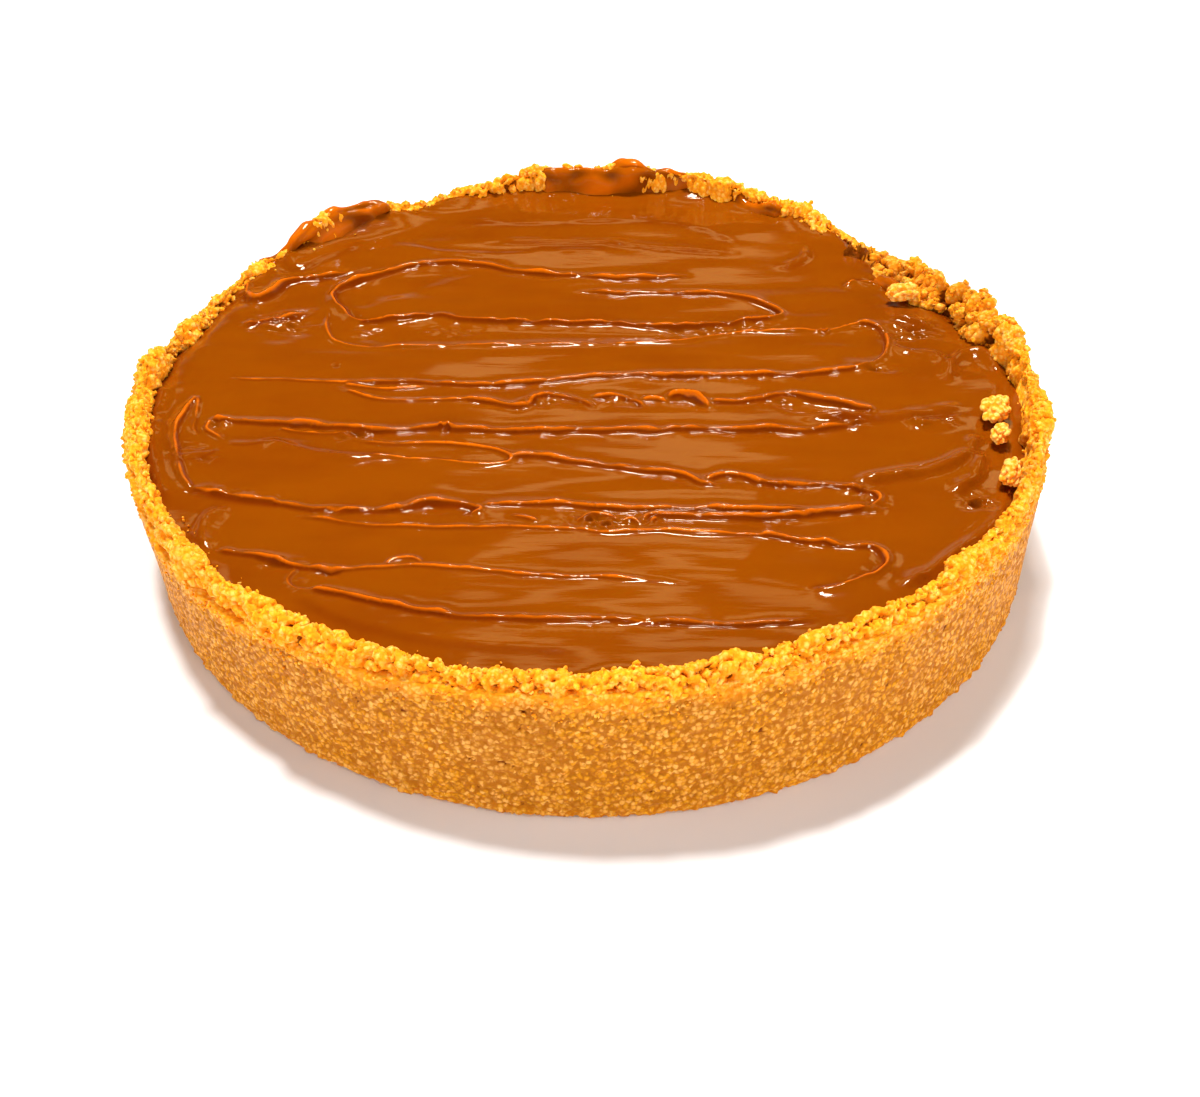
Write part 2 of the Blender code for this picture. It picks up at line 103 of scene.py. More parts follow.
KNIFE_MARKS = (
    (ROLL, 1.9, -1, 4, 14, ((-110, 62), (-104, 56), (-103, 50), (-100, 46.3), (-96, 50.5), (-92, 56.5),
     (-86, 59.6), (-78, 61.3), (-68, 67))),
    (ROLL, 1.7, -1, 3, 8, ((-101, 31.5), (-97, 34), (-92, 35.4), (-87.5, 37.5), (-81, 40.5))),
    (LIP, 1.7, 1, 12, 0, ((31, 61.3), (22, 60.7), (12, 60.4), (-5, 61.7), (-21, 64.6), (-29, 67.1),
     (-37, 68.8), (-47, 69.4), (-56, 67.4), (-62, 64.2))),
    (ROLL, 1.8, 1, 0, 0, ((-62, 64.2), (-67, 60.8), (-72, 57.3), (-76, 53.2), (-77.5, 49), (-76, 44),
     (-73, 40), (-70, 36), (-67, 33.8))),
    (LIP, 1.8, 0, 0, 0, ((-67, 33.8), (-58, 35), (-50, 36.3), (-44, 37.1), (-38, 35.4), (-29, 34.2),
     (-17, 33.5), (5, 32.6), (12, 31.8), (20, 31.3), (28, 31.4), (37, 32.9), (45, 34.2), (52, 35.4))),
    (LIP, 1.7, 1, 0, 16, ((52, 35.4), (55, 37.5), (55.5, 40.8), (52.5, 43.8), (48, 46.3), (42, 49.2),
     (35, 50.4), (27, 51), (12, 51.3), (-5, 52.5))),
    (THIN, 1.1, 1, 8, 0, ((-77.5, 40), (-77, 32), (-75, 26.7), (-72, 23), (-67, 20.5), (-58, 20.3),
     (-42, 20.7), (-25, 21), (5, 21.3), (12, 22), (24, 23.3), (32, 25.8), (41, 28.8), (50, 29.2),
     (60, 29), (67, 28.6), (73, 30.8), (78, 33.3))),
    (LIP, 1.8, -1, 0, 0, ((78, 33.3), (82.5, 31), (84.3, 26.7), (83.4, 20.8), (81.7, 15), (78.3, 11.3),
     (73.3, 8.3))),
    (LIP, 1.5, 1, 0, 0, ((73.3, 8.3), (66, 6.7), (53, 5.4), (37, 4.6), (20, 4.2), (3, 3.8), (-8, 2.9),
     (-21, 1.3), (-33, 0.6), (-42, 1.3), (-54, 1.7), (-67, 1))),
    (THIN, 0.5, 1, 0, 8, ((-67, 1), (-76, 2.3), (-87, 3.2), (-96, 3.8), (-100, 4.6))),
    (THIN, 0.8, -1, 2, 3, ((-67.5, 0.2), (-61, -0.9), (-55, -1.7), (-50, -1), (-45, -0.6))),
    (THIN, 1.0, -1, 6, 0, ((-70, -1.3), (-63, -4.6), (-57, -7), (-50, -7.5), (-42, -7.1), (-33, -6.7))),
    (LIP, 1.5, -1, 0, 2, ((-33, -6.7), (-27.5, -7.9), (-23, -10), (-18, -10.4), (-16, -7.4),
     (-12.5, -4.6), (-8, -5.4), (-4, -6.7), (-0.8, -9.6), (1, -11))),
    (LIP, 1.4, -1, 1, 2, ((0, -5.8), (3.3, -5.3), (9, -5.8), (13, -7.5), (14.6, -10))),
    (THIN, 1.1, -1, 1, 1, ((13.6, -7.6), (17, -7.2), (20, -8))),
    (LIP, 1.4, -1, 1, 2, ((20.4, -5.8), (23.3, -5.3), (27.5, -6.7), (30, -8.8), (31.3, -10.8))),
    (LIP, 1.7, -1, 1, 0, ((32, -8), (38, -8.2), (45, -6.3), (50, -5), (55, -4.6), (60, -6.7),
     (66, -8.8), (72, -10.9), (74.6, -11.9))),
    (SWELL, 0.8, 1, 0, 8, ((74.6, -11.9), (71, -13.6), (65, -15), (56, -15.2))),
    (LIP, 1.9, -1, 1, 6, ((-100, -17.1), (-97, -17.5), (-92, -17.9), (-83, -18.3), (-75, -19.2),
     (-68, -20.4), (-62, -20.8), (-54, -21.5), (-46, -20.8), (-38, -19.8), (-35, -21), (-25, -21.5),
     (-8, -21.7), (12, -21.7), (20, -21.3), (28, -20.7), (38, -20.7), (49, -20), (55, -20.7),
     (60, -19.8), (67, -18.3), (72, -17))),
    (THIN, 0.9, -1, 2, 3, ((-82, -20.2), (-78, -21.7), (-73, -22.8), (-67, -22.6), (-61, -21.6))),
    (THIN, 1.1, -1, 1, 3, ((-100, -17.3), (-100.5, -20.8), (-97.5, -24.2), (-95.5, -26))),
    (THIN, 0.7, -1, 2, 1, ((-94, -27.4), (-89, -27.9), (-84, -27))),
    (SWELL, 1.1, 1, 1, 5, ((-83.3, -26.2), (-77, -29.4), (-71, -32), (-65, -33.3), (-58, -33.6),
     (-50, -33.4))),
    (THIN, 0.8, 1, 4, 0, ((-58, -32.9), (-50, -33.2), (-42, -33.9), (-35, -35), (-30, -36),
     (-25, -36.2), (-21.4, -35.3), (-20.4, -33.6))),
    (THIN, 1.1, 1, 0, 5, ((-20.4, -33.6), (-22.1, -31.5), (-26, -29.6), (-31, -28.6), (-37.5, -27.9),
     (-46, -27.7), (-54, -27.5), (-61, -27.1))),
    (LIP, 1.5, -1, 2, 1, ((-20.8, -33.2), (-16.7, -32.9), (-8, -34.2), (0, -35.9), (4, -37), (7, -37.1),
     (13.3, -38.3), (20, -39.2), (23.3, -40.4), (26, -42.8), (27.6, -44.2), (30.8, -45))),
    (LIP, 1.4, -1, 1, 0, ((28.3, -42.6), (31, -41), (35, -40.4), (38.3, -41.3), (41.7, -43.8))),
    (LIP, 1.7, -1, 0, 0, ((41.7, -43.8), (49, -44.6), (57.5, -45), (63.3, -45.6), (67.5, -46.7),
     (70.2, -48.6), (70.8, -50.8), (69.2, -53), (65.8, -55))),
    (LIP, 1.8, 1, 0, 2, ((65.8, -55), (60, -56), (53.3, -56.9), (45, -57.7), (36.7, -57.9),
     (28.3, -57.9), (20, -57.9), (14.2, -57.5), (12.4, -60))),
    (THIN, 0.9, 0, 3, 1, ((-20, -57.4), (-16, -57.9), (-13, -59.2))),
    (THIN, 1.2, 0, 1, 1, ((-4, -60.2), (-2, -58.6), (1, -57.4), (4.4, -57.9), (6.6, -60))),
    (THIN, 1.1, 0, 1, 1, ((7, -58.9), (10, -58.7), (12.4, -60.6), (14, -58.4), (15.5, -57.3))),
    (ROLL, 1.5, -1, 3, 0, ((-100, -45.8), (-95, -47.1), (-90, -48.3), (-85, -49.8), (-78, -50.7))),
    (LIP, 1.5, -1, 0, 0, ((-78, -50.7), (-72, -52.1), (-67, -53.3), (-60, -54.3), (-53, -54.2),
     (-47, -53.9))),
    (ROLL, 1.8, -1, 0, 1, ((-47, -53.9), (-44, -52.4), (-41, -51.4), (-36.7, -51.2), (-32.5, -51.6),
     (-29, -52.9), (-27, -54.6), (-29.5, -56.2))),
    (LIP, 1.4, -1, 1, 4, ((-26, -53.2), (-20, -52.5), (-12.5, -52.8), (-4, -53.3), (5, -54.6),
     (12, -55), (28, -55.2), (41, -55), (52, -54.6))),
    (THIN, 0.9, -1, 6, 0, ((-72, -55.8), (-62.5, -57.9), (-54, -59.6), (-46, -60.4), (-33, -61.3),
     (-21, -61.7), (-8, -62.7), (-2, -63.3), (4, -64.2), (16, -63.3), (28, -64.2), (41, -65))),
    (LIP, 1.5, -1, 0, 0, ((41, -65), (46.7, -65.8), (53.3, -67.3), (61.7, -68.8), (66, -69),
     (68, -70.6), (68.9, -74.2), (67.5, -77.1))),
    (ROLL, 1.8, -1, 0, 3, ((67.5, -77.1), (65, -80), (60.8, -82.1), (56.7, -83.8), (53.3, -84.8),
     (49.8, -85.2))),
    (LIP, 1.5, -1, 2, 0, ((-88, -69.6), (-83.3, -70.8), (-78.3, -72.1), (-73.3, -73.8), (-68.3, -75.4),
     (-63.3, -76.8), (-58.3, -77.1))),
    (THIN, 0.9, -1, 0, 16, ((-58.3, -77.1), (-51.7, -76.5), (-45, -76.3), (-40, -76), (-33, -77.1),
     (-21, -78.3), (-8, -79.6), (5, -80.5), (22, -82.8))),
    (THIN, 0.6, 0, 1, 1, ((-48.3, -75), (-46, -73.4), (-42, -73.2), (-39.6, -75))),
    (THIN, 1.1, 1, 1, 0, ((-68.3, -76.3), (-69.3, -80), (-67.5, -82.9), (-63.3, -84.2))),
    (LIP, 1.5, -1, 0, 8, ((-63.3, -84.2), (-58.3, -85.8), (-52.5, -87.9), (-46, -89.8), (-37.5, -91.8),
     (-29, -93.8), (-21, -94.6), (-8, -95.4), (7.5, -95.7), (20, -96), (28, -96.3), (38, -95.8),
     (45, -95), (50, -94))),
    (SWELL, 0.22, -1, 4, 12, ((-67, -85.8), (-61.7, -90), (-55.8, -93.8), (-50, -96.3), (-38, -100),
     (-20, -103.4), (0, -105))),
    (LIP, 1.4, 1, 2, 0, ((-106.3, -5.8), (-108, -11.7), (-108.9, -16.7), (-108.5, -21.7),
     (-107.2, -28.3), (-105, -34.2), (-103, -40), (-100, -45.8))),
    (THIN, 0.9, 1, 2, 2, ((-106.3, -6), (-105.4, -14), (-104.4, -20.5), (-102.3, -23.8))),
    (THIN, 0.8, 1, 1, 3, ((-96, -31), (-99.5, -33), (-104, -34.2))),
    (SWELL, 1.3, -1, 2, 2, ((-118.4, 1), (-117.3, -3.3), (-116.8, -7.5), (-117.6, -12))),
    (SWELL, 1.3, -1, 2, 6, ((-117.2, -13.3), (-115.4, -20), (-114, -28), (-111.7, -35), (-109, -42),
     (-104, -51))),
    (SWELL, 1.2, -1, 2, 3, ((-89.5, -53), (-92.8, -55.4), (-94.4, -59.5), (-94, -64), (-91, -69))),
    (SWELL, 1.5, -1, 6, 6, ((60, -15), (78, -14.6), (91, -12), (99, -9.5))),
    (SWELL, 1.4, 1, 3, 5, ((83, -17), (88, -17.6), (94, -16.6), (99, -14))),
    (SWELL, 1.7, -1, 6, 3, ((64, -44), (75, -41.7), (85, -39), (91, -36), (96, -31.5), (101, -24))),
    (SWELL, 1.6, 1, 3, 3, ((99.5, -31.5), (98.2, -38), (95, -44), (89, -48))),
    (SWELL, 1.6, 1, 3, 8, ((104, -47), (99, -58), (91, -67), (80, -77), (70, -84))),
    (SWELL, 1.7, 1, 3, 3, ((100, 10), (103, 15), (108, 17.4), (111.5, 13), (112.5, 6))),
    (SWELL, 1.3, 1, 3, 3, ((84.5, 20), (90, 16.5), (96, 16), (99, 9), (97, 2))),
    (ROLL, 1.2, 1, 1, 2, ((77, 55.8), (79, 58), (83, 58.8), (86.5, 57.4), (88, 54))),
    (SWELL, 1.3, 1, 3, 3, ((85, 34), (88, 30), (91, 27.5), (94, 27))),
    (SWELL, 1.3, -1, 3, 3, ((87, 36.5), (93, 34.5), (98, 30))),
    (SWELL, 1.2, -1, 4, 6, ((57.5, 67), (62, 68.4), (66, 72.5), (68, 79))),
    (SWELL, 0.55, -1, 12, 16, ((-35, 82.5), (-15, 82.5), (5, 81.6), (15, 79.4), (30, 76.4), (46, 74))),
    (SWELL, 0.35, -1, 10, 10, ((-45, 97), (-20, 94), (8, 96), (28, 93), (40, 86), (46, 79))),
    (SWELL, 0.4, 1, 8, 8, ((-62, 82), (-50, 76.5), (-30, 75), (-8, 77), (10, 76))),
    (SWELL, 0.8, -1, 5, 6, ((-95, 76), (-92, 66), (-84, 72), (-72, 82))),
)
PRESS_SHARE = 0.8               # of the depths that follow
# Areas that the knife pressed lower: (depth, spread, plan outline).
PRESSED_AREAS = (
    (0.75, 1.3, ((-69, 25), (-64, 31), (-46, 34), (-20, 31.5), (12, 29.5), (36, 30), (48, 31), (24, 26),
     (6, 24), (-62, 23))),
    (0.45, 1.8, ((52, 43), (53, 38), (44, 36.5), (26, 34), (6, 36), (6, 48), (27, 48.5), (42, 46.5))),
    (0.8, 1.5, ((-73, 52), (-70, 56), (-60, 62), (-48, 66), (-36, 65), (-52, 54), (-68, 42),
     (-74, 46))),
    (0.7, 1.6, ((80, 31), (82, 27), (80.5, 17), (76, 12), (70, 14), (72, 26))),
    (1.1, 0.9, ((48, -8), (57, -7), (65, -10.5), (72.5, -12.3), (66, -13.4), (54, -12))),
    (0.5, 1.2, ((44, -46.5), (62, -47.7), (67.5, -49.4), (67.5, -52), (60, -53.4), (44, -53))),
    (0.5, 1.5, ((44, -68), (60, -71.5), (65, -73.5), (62, -79), (50, -82), (34, -80))),
    (0.9, 1.6, ((-99, 43), (-94, 49), (-87, 57), (-79, 59), (-76, 52), (-79, 43), (-88, 40),
     (-97, 37))),
    (0.8, 1.6, ((-99, 29), (-91, 32), (-82, 36), (-80, 28), (-90, 23))),
    (0.7, 1.8, ((-114, -2), (-110, -8), (-111, -24), (-106, -40), (-110, -38), (-115, -18))),
    (0.5, 1.4, ((-96, -22), (-80, -22), (-64, -25), (-66, -29.5), (-76, -26), (-94, -25.6))),
    (0.5, 1.6, ((-96, -50), (-78, -54), (-54, -58), (-40, -58), (-70, -66), (-90, -64))),
)
# How coarsely the rim broke.
CHUNKINESS = ((-150, 0.9), (-90, 1.0), (-45, 1.0), (-10, 0.9), (6, 1.1), (14, 1.4), (30, 1.5),
              (42, 1.4), (52, 1.0), (90, 1.2), (140, 1.0))
# Large crumbs broken from the rim: (first and last angle, number, smallest, largest, shares).
CHUNKS = ((8, 22, 50, 0.9, 2.0, 0.10, 0.62), (22, 40, 75, 0.9, 2.3, 0.06, 0.62),
          (40, 50, 12, 0.9, 1.6, 0.10, 0.5), (-26, 8, 22, 0.9, 1.5, 0.22, 0.5),
          (108, 122, 12, 0.9, 1.7, 0.3, 0.6), (148, 172, 18, 0.8, 1.4, 0.3, 0.6))
WRINKLE_HEIGHT = 1.55           # of a wrinkle of strength 1
# Short wrinkles in the skin: (x, y, half length, half width, strength).
WRINKLES = (
    (-90, 33, 9, 3.4, 0.34), (33, 29.6, 13, 2.2, 0.3), (47, 32, 5, 2.0, 0.25),
    (-40, 30, 7, 3.2, 0.16), (-64, 29, 4, 3.6, 0.16), (75, 31, 4, 1.6, 0.24),
    (79, 8.5, 5, 2.2, 0.3), (92, 28, 7, 3.8, 0.36), (25, 3.4, 14, 0.9, 0.2),
    (52, 3.6, 8, 0.9, 0.22), (-14, -8.4, 4.5, 2.2, 0.34), (51, -7.4, 4, 1.8, 0.28),
    (8, -7.6, 8, 2.0, 0.24), (26, -7.8, 6, 2.0, 0.24), (-98, -18.5, 3, 2.4, 0.3),
    (-62, -23.5, 5, 3.0, 0.26), (-37, -20.6, 3.4, 1.6, 0.26), (70, -18.4, 4, 1.6, 0.24),
    (86, -17.6, 3.4, 1.8, 0.3), (94, -17, 3.4, 1.4, 0.3), (49, -45.2, 6, 1.2, 0.22),
    (66, -47, 3.6, 1.8, 0.28), (68.5, -54, 3.4, 2.6, 0.28), (52, -57, 5, 1.2, 0.24),
    (2, -60, 8, 3.2, 0.34), (-92, -47.6, 8, 1.2, 0.3), (-62, -54.6, 6, 1.0, 0.22),
    (52, -68, 4, 1.6, 0.24), (-71, -74.6, 6, 1.4, 0.26), (-62, -77.6, 4, 1.2, 0.24),
    (94, -51.6, 4.6, 3.6, 0.3), (-103, -30, 4, 3, 0.16), (-98, -33, 3, 3, 0.2),
    (83, 58.4, 4, 1.4, 0.3), (-104, 52, 4, 4, 0.2), (-92, 62, 4, 3, 0.14),
    (10, -95.9, 10, 0.9, 0.16), (-66, -82.5, 3, 2.4, 0.18),
)
# Small rings and craters left by bubbles: (x, y, ring radius, ring height, hollow depth).
RINGS = ((3.4, -62.0, 1.5, 1.0, 0.4), (-0.6, -60.2, 1.3, 0.8, 0.3), (94.0, -52.6, 1.9, 0.5, 1.7),
         (66.8, 28.2, 1.1, 0.7, 0.3), (-38.6, -20.4, 1.0, 0.7, 0.2), (96.3, 61.5, 2.6, 0.4, 2.6),
         (-71.0, 10.0, 0.8, -0.2, 0.2))
# Caramel smeared over the rim: (first and last angle, lowest and highest share of the section).
SMEARS = ((56, 68, 0.0, 0.42), (66, 107, 0.0, 0.66), (123, 146, 0.0, 0.72), (110, 122, 0.0, 0.34),
          (150, 156, 0.0, 0.30), (27, 36, 0.0, 0.30))
LUMP_TURNS = {"crumb_lump_1": 70, "crumb_lump_2": 75, "crumb_lump_3": 66, "crumb_lump_4": 10}

# ---- lights: (name, place in metres, width and height, watts) ------------------------------
STRIPS = (                      # warm and weak, for the tan patches on the caramel's flats
    ("back_strip", (0.03, 0.93, 0.80), (0.36, 0.15), 0.34),
    ("high_strip", (0.02, 0.70, 1.00), (0.34, 0.13), 0.31),
    ("right_strip", (0.57, 0.82, 0.84), (0.35, 0.25), 0.64),
    ("left_strip", (-0.64, 0.76, 0.84), (0.35, 0.25), 0.48),
)
BOXES = (                       # for the white glints on the crests
    ("top_box", (0.05, 0.36, 1.15), (0.24, 0.13), 10),
    ("near_box", (0.12, -0.45, 1.05), (0.14, 0.08), 1.5),
)
FILLS = (                       # for the crumb and the table; the caramel doesn't mirror them
    ("front_fill", (-0.3, -1.75, 0.42), (1.6, 0.7), 21),
    ("left_fill", (-1.5, -0.3, 0.42), (0.9, 0.6), 8),
    ("right_fill", (1.4, -0.4, 0.42), (0.9, 0.6), 14),
)
STRIP_COLOUR = (1.0, 0.77, 0.31)
CARAMEL_TARGET = (0, 0, 0.04)   # where the strips and boxes point
WALL_TARGET = (0, 0, 0.02)      # where the fills point

# ---- how finely things are made -------------------------------------------------------------
CRUMB = "sandy_crumb"           # the crumb material's name
MAP_STEP = 0.3                  # spacing of the caramel's height map
MAP_HALF = 126.0
MAP_COUNT = 2 * int(MAP_HALF / MAP_STEP) + 1
WALL_COLUMNS = 1380
WALL_ROWS = 66
RIM_COLUMNS = 1900
RIM_ROWS = 47
RIM_MIDDLE = 119                # mean radii and height, for the spacing of columns and rows
WALL_OUTSIDE = 121
WALL_TOP = 37.0
CRUST_INSIDE = 31.0             # how high the hidden closing faces lie
RIM_INSIDE = 116                # and how far out those of the rim are


class CakeSizes(bpy.types.PropertyGroup):
    """Sizes that a user may change."""
    mark_height: FloatProperty(name="Knife mark height", default=0.62, min=0.2, max=2.0,
                               subtype="FACTOR",
                               description="Height of the ridges that the palette knife left")
    skin_ripple: FloatProperty(name="Skin ripple", default=0.05, min=0.0, max=0.5,
                               description="Unevenness of the caramel's flats in millimetres")
    wall_grain: FloatProperty(name="Wall grain", default=0.00055, unit="LENGTH",
                              description="Radius of the grains on the pressed wall")
    rim_grain: FloatProperty(name="Rim grain", default=0.0013, unit="LENGTH",
                             description="Radius of the crumbs along the broken rim")
    rim_crumbs: IntProperty(name="Rim crumbs", default=1500, min=1, max=2300,
                            description="Number of separate crumbs that stand on the rim")
    loose_crumbs: IntProperty(name="Loose crumbs", default=900, min=1, max=2000,
                              description="Number of small crumbs fallen on cake and wall")


class CakeColours(bpy.types.PropertyGroup):
    """Colours that a user may change."""
    caramel: FloatVectorProperty(name="Caramel", subtype="COLOR", size=3, min=0, max=1,
                                 default=(0.225, 0.0462, 0.0004),
                                 description="Caramel on the flats")
    # painted shade: this colour also fills the dark bands beside ridges, the bubble craters and the
    # groove by the crust
    caramel_deep_and_shade: FloatVectorProperty(name="Deep caramel", subtype="COLOR", size=3, min=0, max=1,
                                      default=(0.145, 0.016, 0.0003),
                                      description="Caramel in grooves")
    # painted highlight: this colour also lights the crests and smears, standing partly for thin caramel
    caramel_thin_and_highlight: FloatVectorProperty(name="Thin caramel", subtype="COLOR", size=3, min=0, max=1,
                                      default=(0.60, 0.120, 0.0015),
                                      description="Caramel drawn out thin on crests")
    wall: FloatVectorProperty(name="Pressed wall", subtype="COLOR", size=3, min=0, max=1,
                              default=(0.62, 0.232, 0.006), description="Pressed crumb")
    browned: FloatVectorProperty(name="Browned patches", subtype="COLOR", size=3, min=0, max=1,
                                 default=(0.37, 0.15, 0.034),
                                 description="Smooth browned patches of the pressed wall")
    rim: FloatVectorProperty(name="Rim crumb", subtype="COLOR", size=3, min=0, max=1,
                             default=(1.0, 0.43, 0.018), description="Fresh crumb on the rim")
    # light grains are also the painted highlight on each grain's top
    grain: FloatVectorProperty(name="Light grains", subtype="COLOR", size=3, min=0, max=1,
                               default=(1.0, 0.62, 0.16), description="Lightest grains")
    sand: FloatVectorProperty(name="Sandy grains", subtype="COLOR", size=3, min=0, max=1,
                              default=(0.90, 0.45, 0.11), description="Light grains on the wall")
    # painted shadow: near-black colour in the deepest holes and pits of the crumb
    hole_shadow: FloatVectorProperty(name="Soaked crumb", subtype="COLOR", size=3, min=0, max=1,
                                default=(0.11, 0.014, 0.0005),
                                description="Deep holes that the caramel soaked")
    # pits and crevices are the colours of painted shade between grains and in low places, and of random
    # dark grains
    pit: FloatVectorProperty(name="Pits", subtype="COLOR", size=3, min=0, max=1,
                             default=(0.36, 0.105, 0.004), description="Wall between its grains")
    crevice: FloatVectorProperty(name="Crevices", subtype="COLOR", size=3, min=0, max=1,
                                 default=(0.90, 0.27, 0.006),
                                 description="Fresh crumb between its grains")
    floor: FloatVectorProperty(name="Floor", subtype="COLOR", size=3, min=0, max=1,
                               default=(0.86, 0.86, 0.86), description="Table top")


# ---- small tools ------------------------------------------------------------------------------
def around(table, angles):
    """Values of a round-the-cake table at angles in radians, eased between its entries."""
    wrapped = ((table[-1][0] - 360, table[-1][1]), *table, (table[0][0] + 360, table[0][1]))
    at = np.array([entry[0] for entry in wrapped], dtype=float)
    value = np.array([entry[1] for entry in wrapped], dtype=float)
    degrees = np.degrees(np.arctan2(np.sin(angles), np.cos(angles)))
    index = np.clip(np.searchsorted(at, degrees, side="right") - 1, 0, len(at) - 2)
    share = (degrees - at[index]) / (at[index + 1] - at[index])
    return value[index] + (value[index + 1] - value[index]) * share * share * (3 - 2 * share)


def soft_noise(shape, step, spread_x, spread_y, seed):
    """Smooth noise of unit strength on a map whose cells are step apart."""
    white = np.random.default_rng(seed).standard_normal(shape)
    return blurred(white, step, spread_x, spread_y, normal=True)


def blurred(values, step, spread_x, spread_y, normal=False):
    """The map smoothed by a Gaussian, by way of its spectrum."""
    across = np.fft.rfftfreq(values.shape[1], d=step)[None, :]
    down = np.fft.fftfreq(values.shape[0], d=step)[:, None]
    keep = np.exp(-2 * (math.pi * spread_x * across) ** 2 - 2 * (math.pi * spread_y * down) ** 2)
    result = np.fft.irfft2(np.fft.rfft2(values) * keep, s=values.shape)
    return result / result.std() if normal else result


def smooth_run(points, step):
    """Catmull-Rom curve through plan points, read at even steps, with unit directions."""
    plan = np.array(points, dtype=float)
    padded = np.vstack((2 * plan[0] - plan[1], plan, 2 * plan[-1] - plan[-2]))
    pieces = []
    t = np.linspace(0, 1, 25)[:-1, None]
    for before, start, end, after in zip(padded, padded[1:], padded[2:], padded[3:]):
        pieces.append(0.5 * (2 * start + (end - before) * t
                             + (2 * before - 5 * start + 4 * end - after) * t ** 2
                             + (3 * start - before - 3 * end + after) * t ** 3))
    course = np.vstack((*pieces, plan[-1:]))
    lengths = np.concatenate(([0], np.cumsum(np.hypot(*np.diff(course, axis=0).T))))
    along = np.linspace(0, lengths[-1], max(3, int(lengths[-1] / step) + 1))
    places = np.column_stack([np.interp(along, lengths, course[:, axis]) for axis in (0, 1)])
    direction = np.gradient(places, axis=0)
    direction /= np.maximum(np.hypot(*direction.T), 1e-9)[:, None]
    return along, places, direction


def mesh_piece(name, points, faces, material, attributes):
    """A new smooth object from points in metres, with values stored at its points."""
    mesh = bpy.data.meshes.new(name)
    mesh.from_pydata(points.tolist(), [], faces)
    mesh.validate()
    for label, values in attributes.items():
        layer = mesh.attributes.new(label, "FLOAT", "POINT")
        layer.data.foreach_set("value", np.ascontiguousarray(values, dtype=np.float32))
    mesh.shade_smooth()
    mesh.materials.append(material)
    piece = bpy.data.objects.new(name, mesh)
    bpy.context.scene.collection.objects.link(piece)
    return piece


def closed_outward(points, faces):
    """The faces, turned round if they would enclose a negative volume."""
    corners = points[np.array([face[:3] for face in faces])]
    middle = points.mean(axis=0)
    a, b, c = (corners[:, k] - middle for k in range(3))
    if np.einsum("ij,ij->i", a, np.cross(b, c)).sum() < 0:
        return [face[::-1] for face in faces]
    return faces


def ring_faces(columns, rows, closed_rows):
    """Quads of a strip that runs right round the cake, columns by rows."""
    column = np.arange(columns)[:, None]
    row = np.arange(rows if closed_rows else rows - 1)[None, :]
    following, above = (column + 1) % columns, (row + 1) % rows
    return np.stack((column * rows + row, following * rows + row, following * rows + above,
                     column * rows + above), axis=-1).reshape(-1, 4)


# ---- material tools -----------------------------------------------------------------------------
def new_material(name):
    """A material with its node tree and its Principled shader."""
    material = bpy.data.materials.new(name)
    material.use_nodes = True
    return material, material.node_tree, material.node_tree.nodes["Principled BSDF"]


def add(tree, kind, **values):
    """A node of a kind, with its properties set."""
    node = tree.nodes.new(kind)
    for key, value in values.items():
        setattr(node, key, value)
    return node


def link(tree, source, target):
    """Joins a socket to another."""
    tree.links.new(source, target)


def mixed(tree, share, first, second):
    """Colour mix; share, first and second are sockets or plain values."""
    node = tree.nodes.new("ShaderNodeMix")
    node.data_type = "RGBA"
    for socket, value in ((node.inputs[0], share), (node.inputs[6], first),
                          (node.inputs[7], second)):
        if isinstance(value, bpy.types.NodeSocket):
            link(tree, value, socket)
        elif isinstance(value, (int, float)):
            socket.default_value = value
        else:
            socket.default_value = (*value, 1)
    return node.outputs[2]


def ranged(tree, source, low, high, to_low=0.0, to_high=1.0):
    """The source's range from low to high, stretched to another range and clamped."""
    node = add(tree, "ShaderNodeMapRange", clamp=True)
    link(tree, source, node.inputs["Value"])
    for label, value in (("From Min", low), ("From Max", high), ("To Min", to_low),
                         ("To Max", to_high)):
        node.inputs[label].default_value = value
    return node.outputs["Result"]


def speckle(tree, scale, detail=2.0, stretch=(1, 1, 1), kind="ShaderNodeTexNoise"):
    """Noise or cells in object space."""
    place = add(tree, "ShaderNodeTexCoord")
    turn = add(tree, "ShaderNodeMapping")
    turn.inputs["Scale"].default_value = stretch
    link(tree, place.outputs["Object"], turn.inputs["Vector"])
    texture = add(tree, kind)
    texture.inputs["Scale"].default_value = scale
    texture.inputs["Detail"].default_value = detail
    link(tree, turn.outputs["Vector"], texture.inputs["Vector"])
    return texture


def attribute(tree, label):
    """A value stored at the mesh's points."""
    node = add(tree, "ShaderNodeAttribute", attribute_name=label)
    return node.outputs["Fac"]


def bump(tree, shader, source, strength, distance, before=None):
    """Fine relief on a shader, on top of an earlier one where that is given."""
    node = add(tree, "ShaderNodeBump")
    node.inputs["Strength"].default_value = strength
    node.inputs["Distance"].default_value = distance
    link(tree, source, node.inputs["Height"])
    if before is not None:
        link(tree, before, node.inputs["Normal"])
    link(tree, node.outputs["Normal"], shader.inputs["Normal"])
    return node.outputs["Normal"]


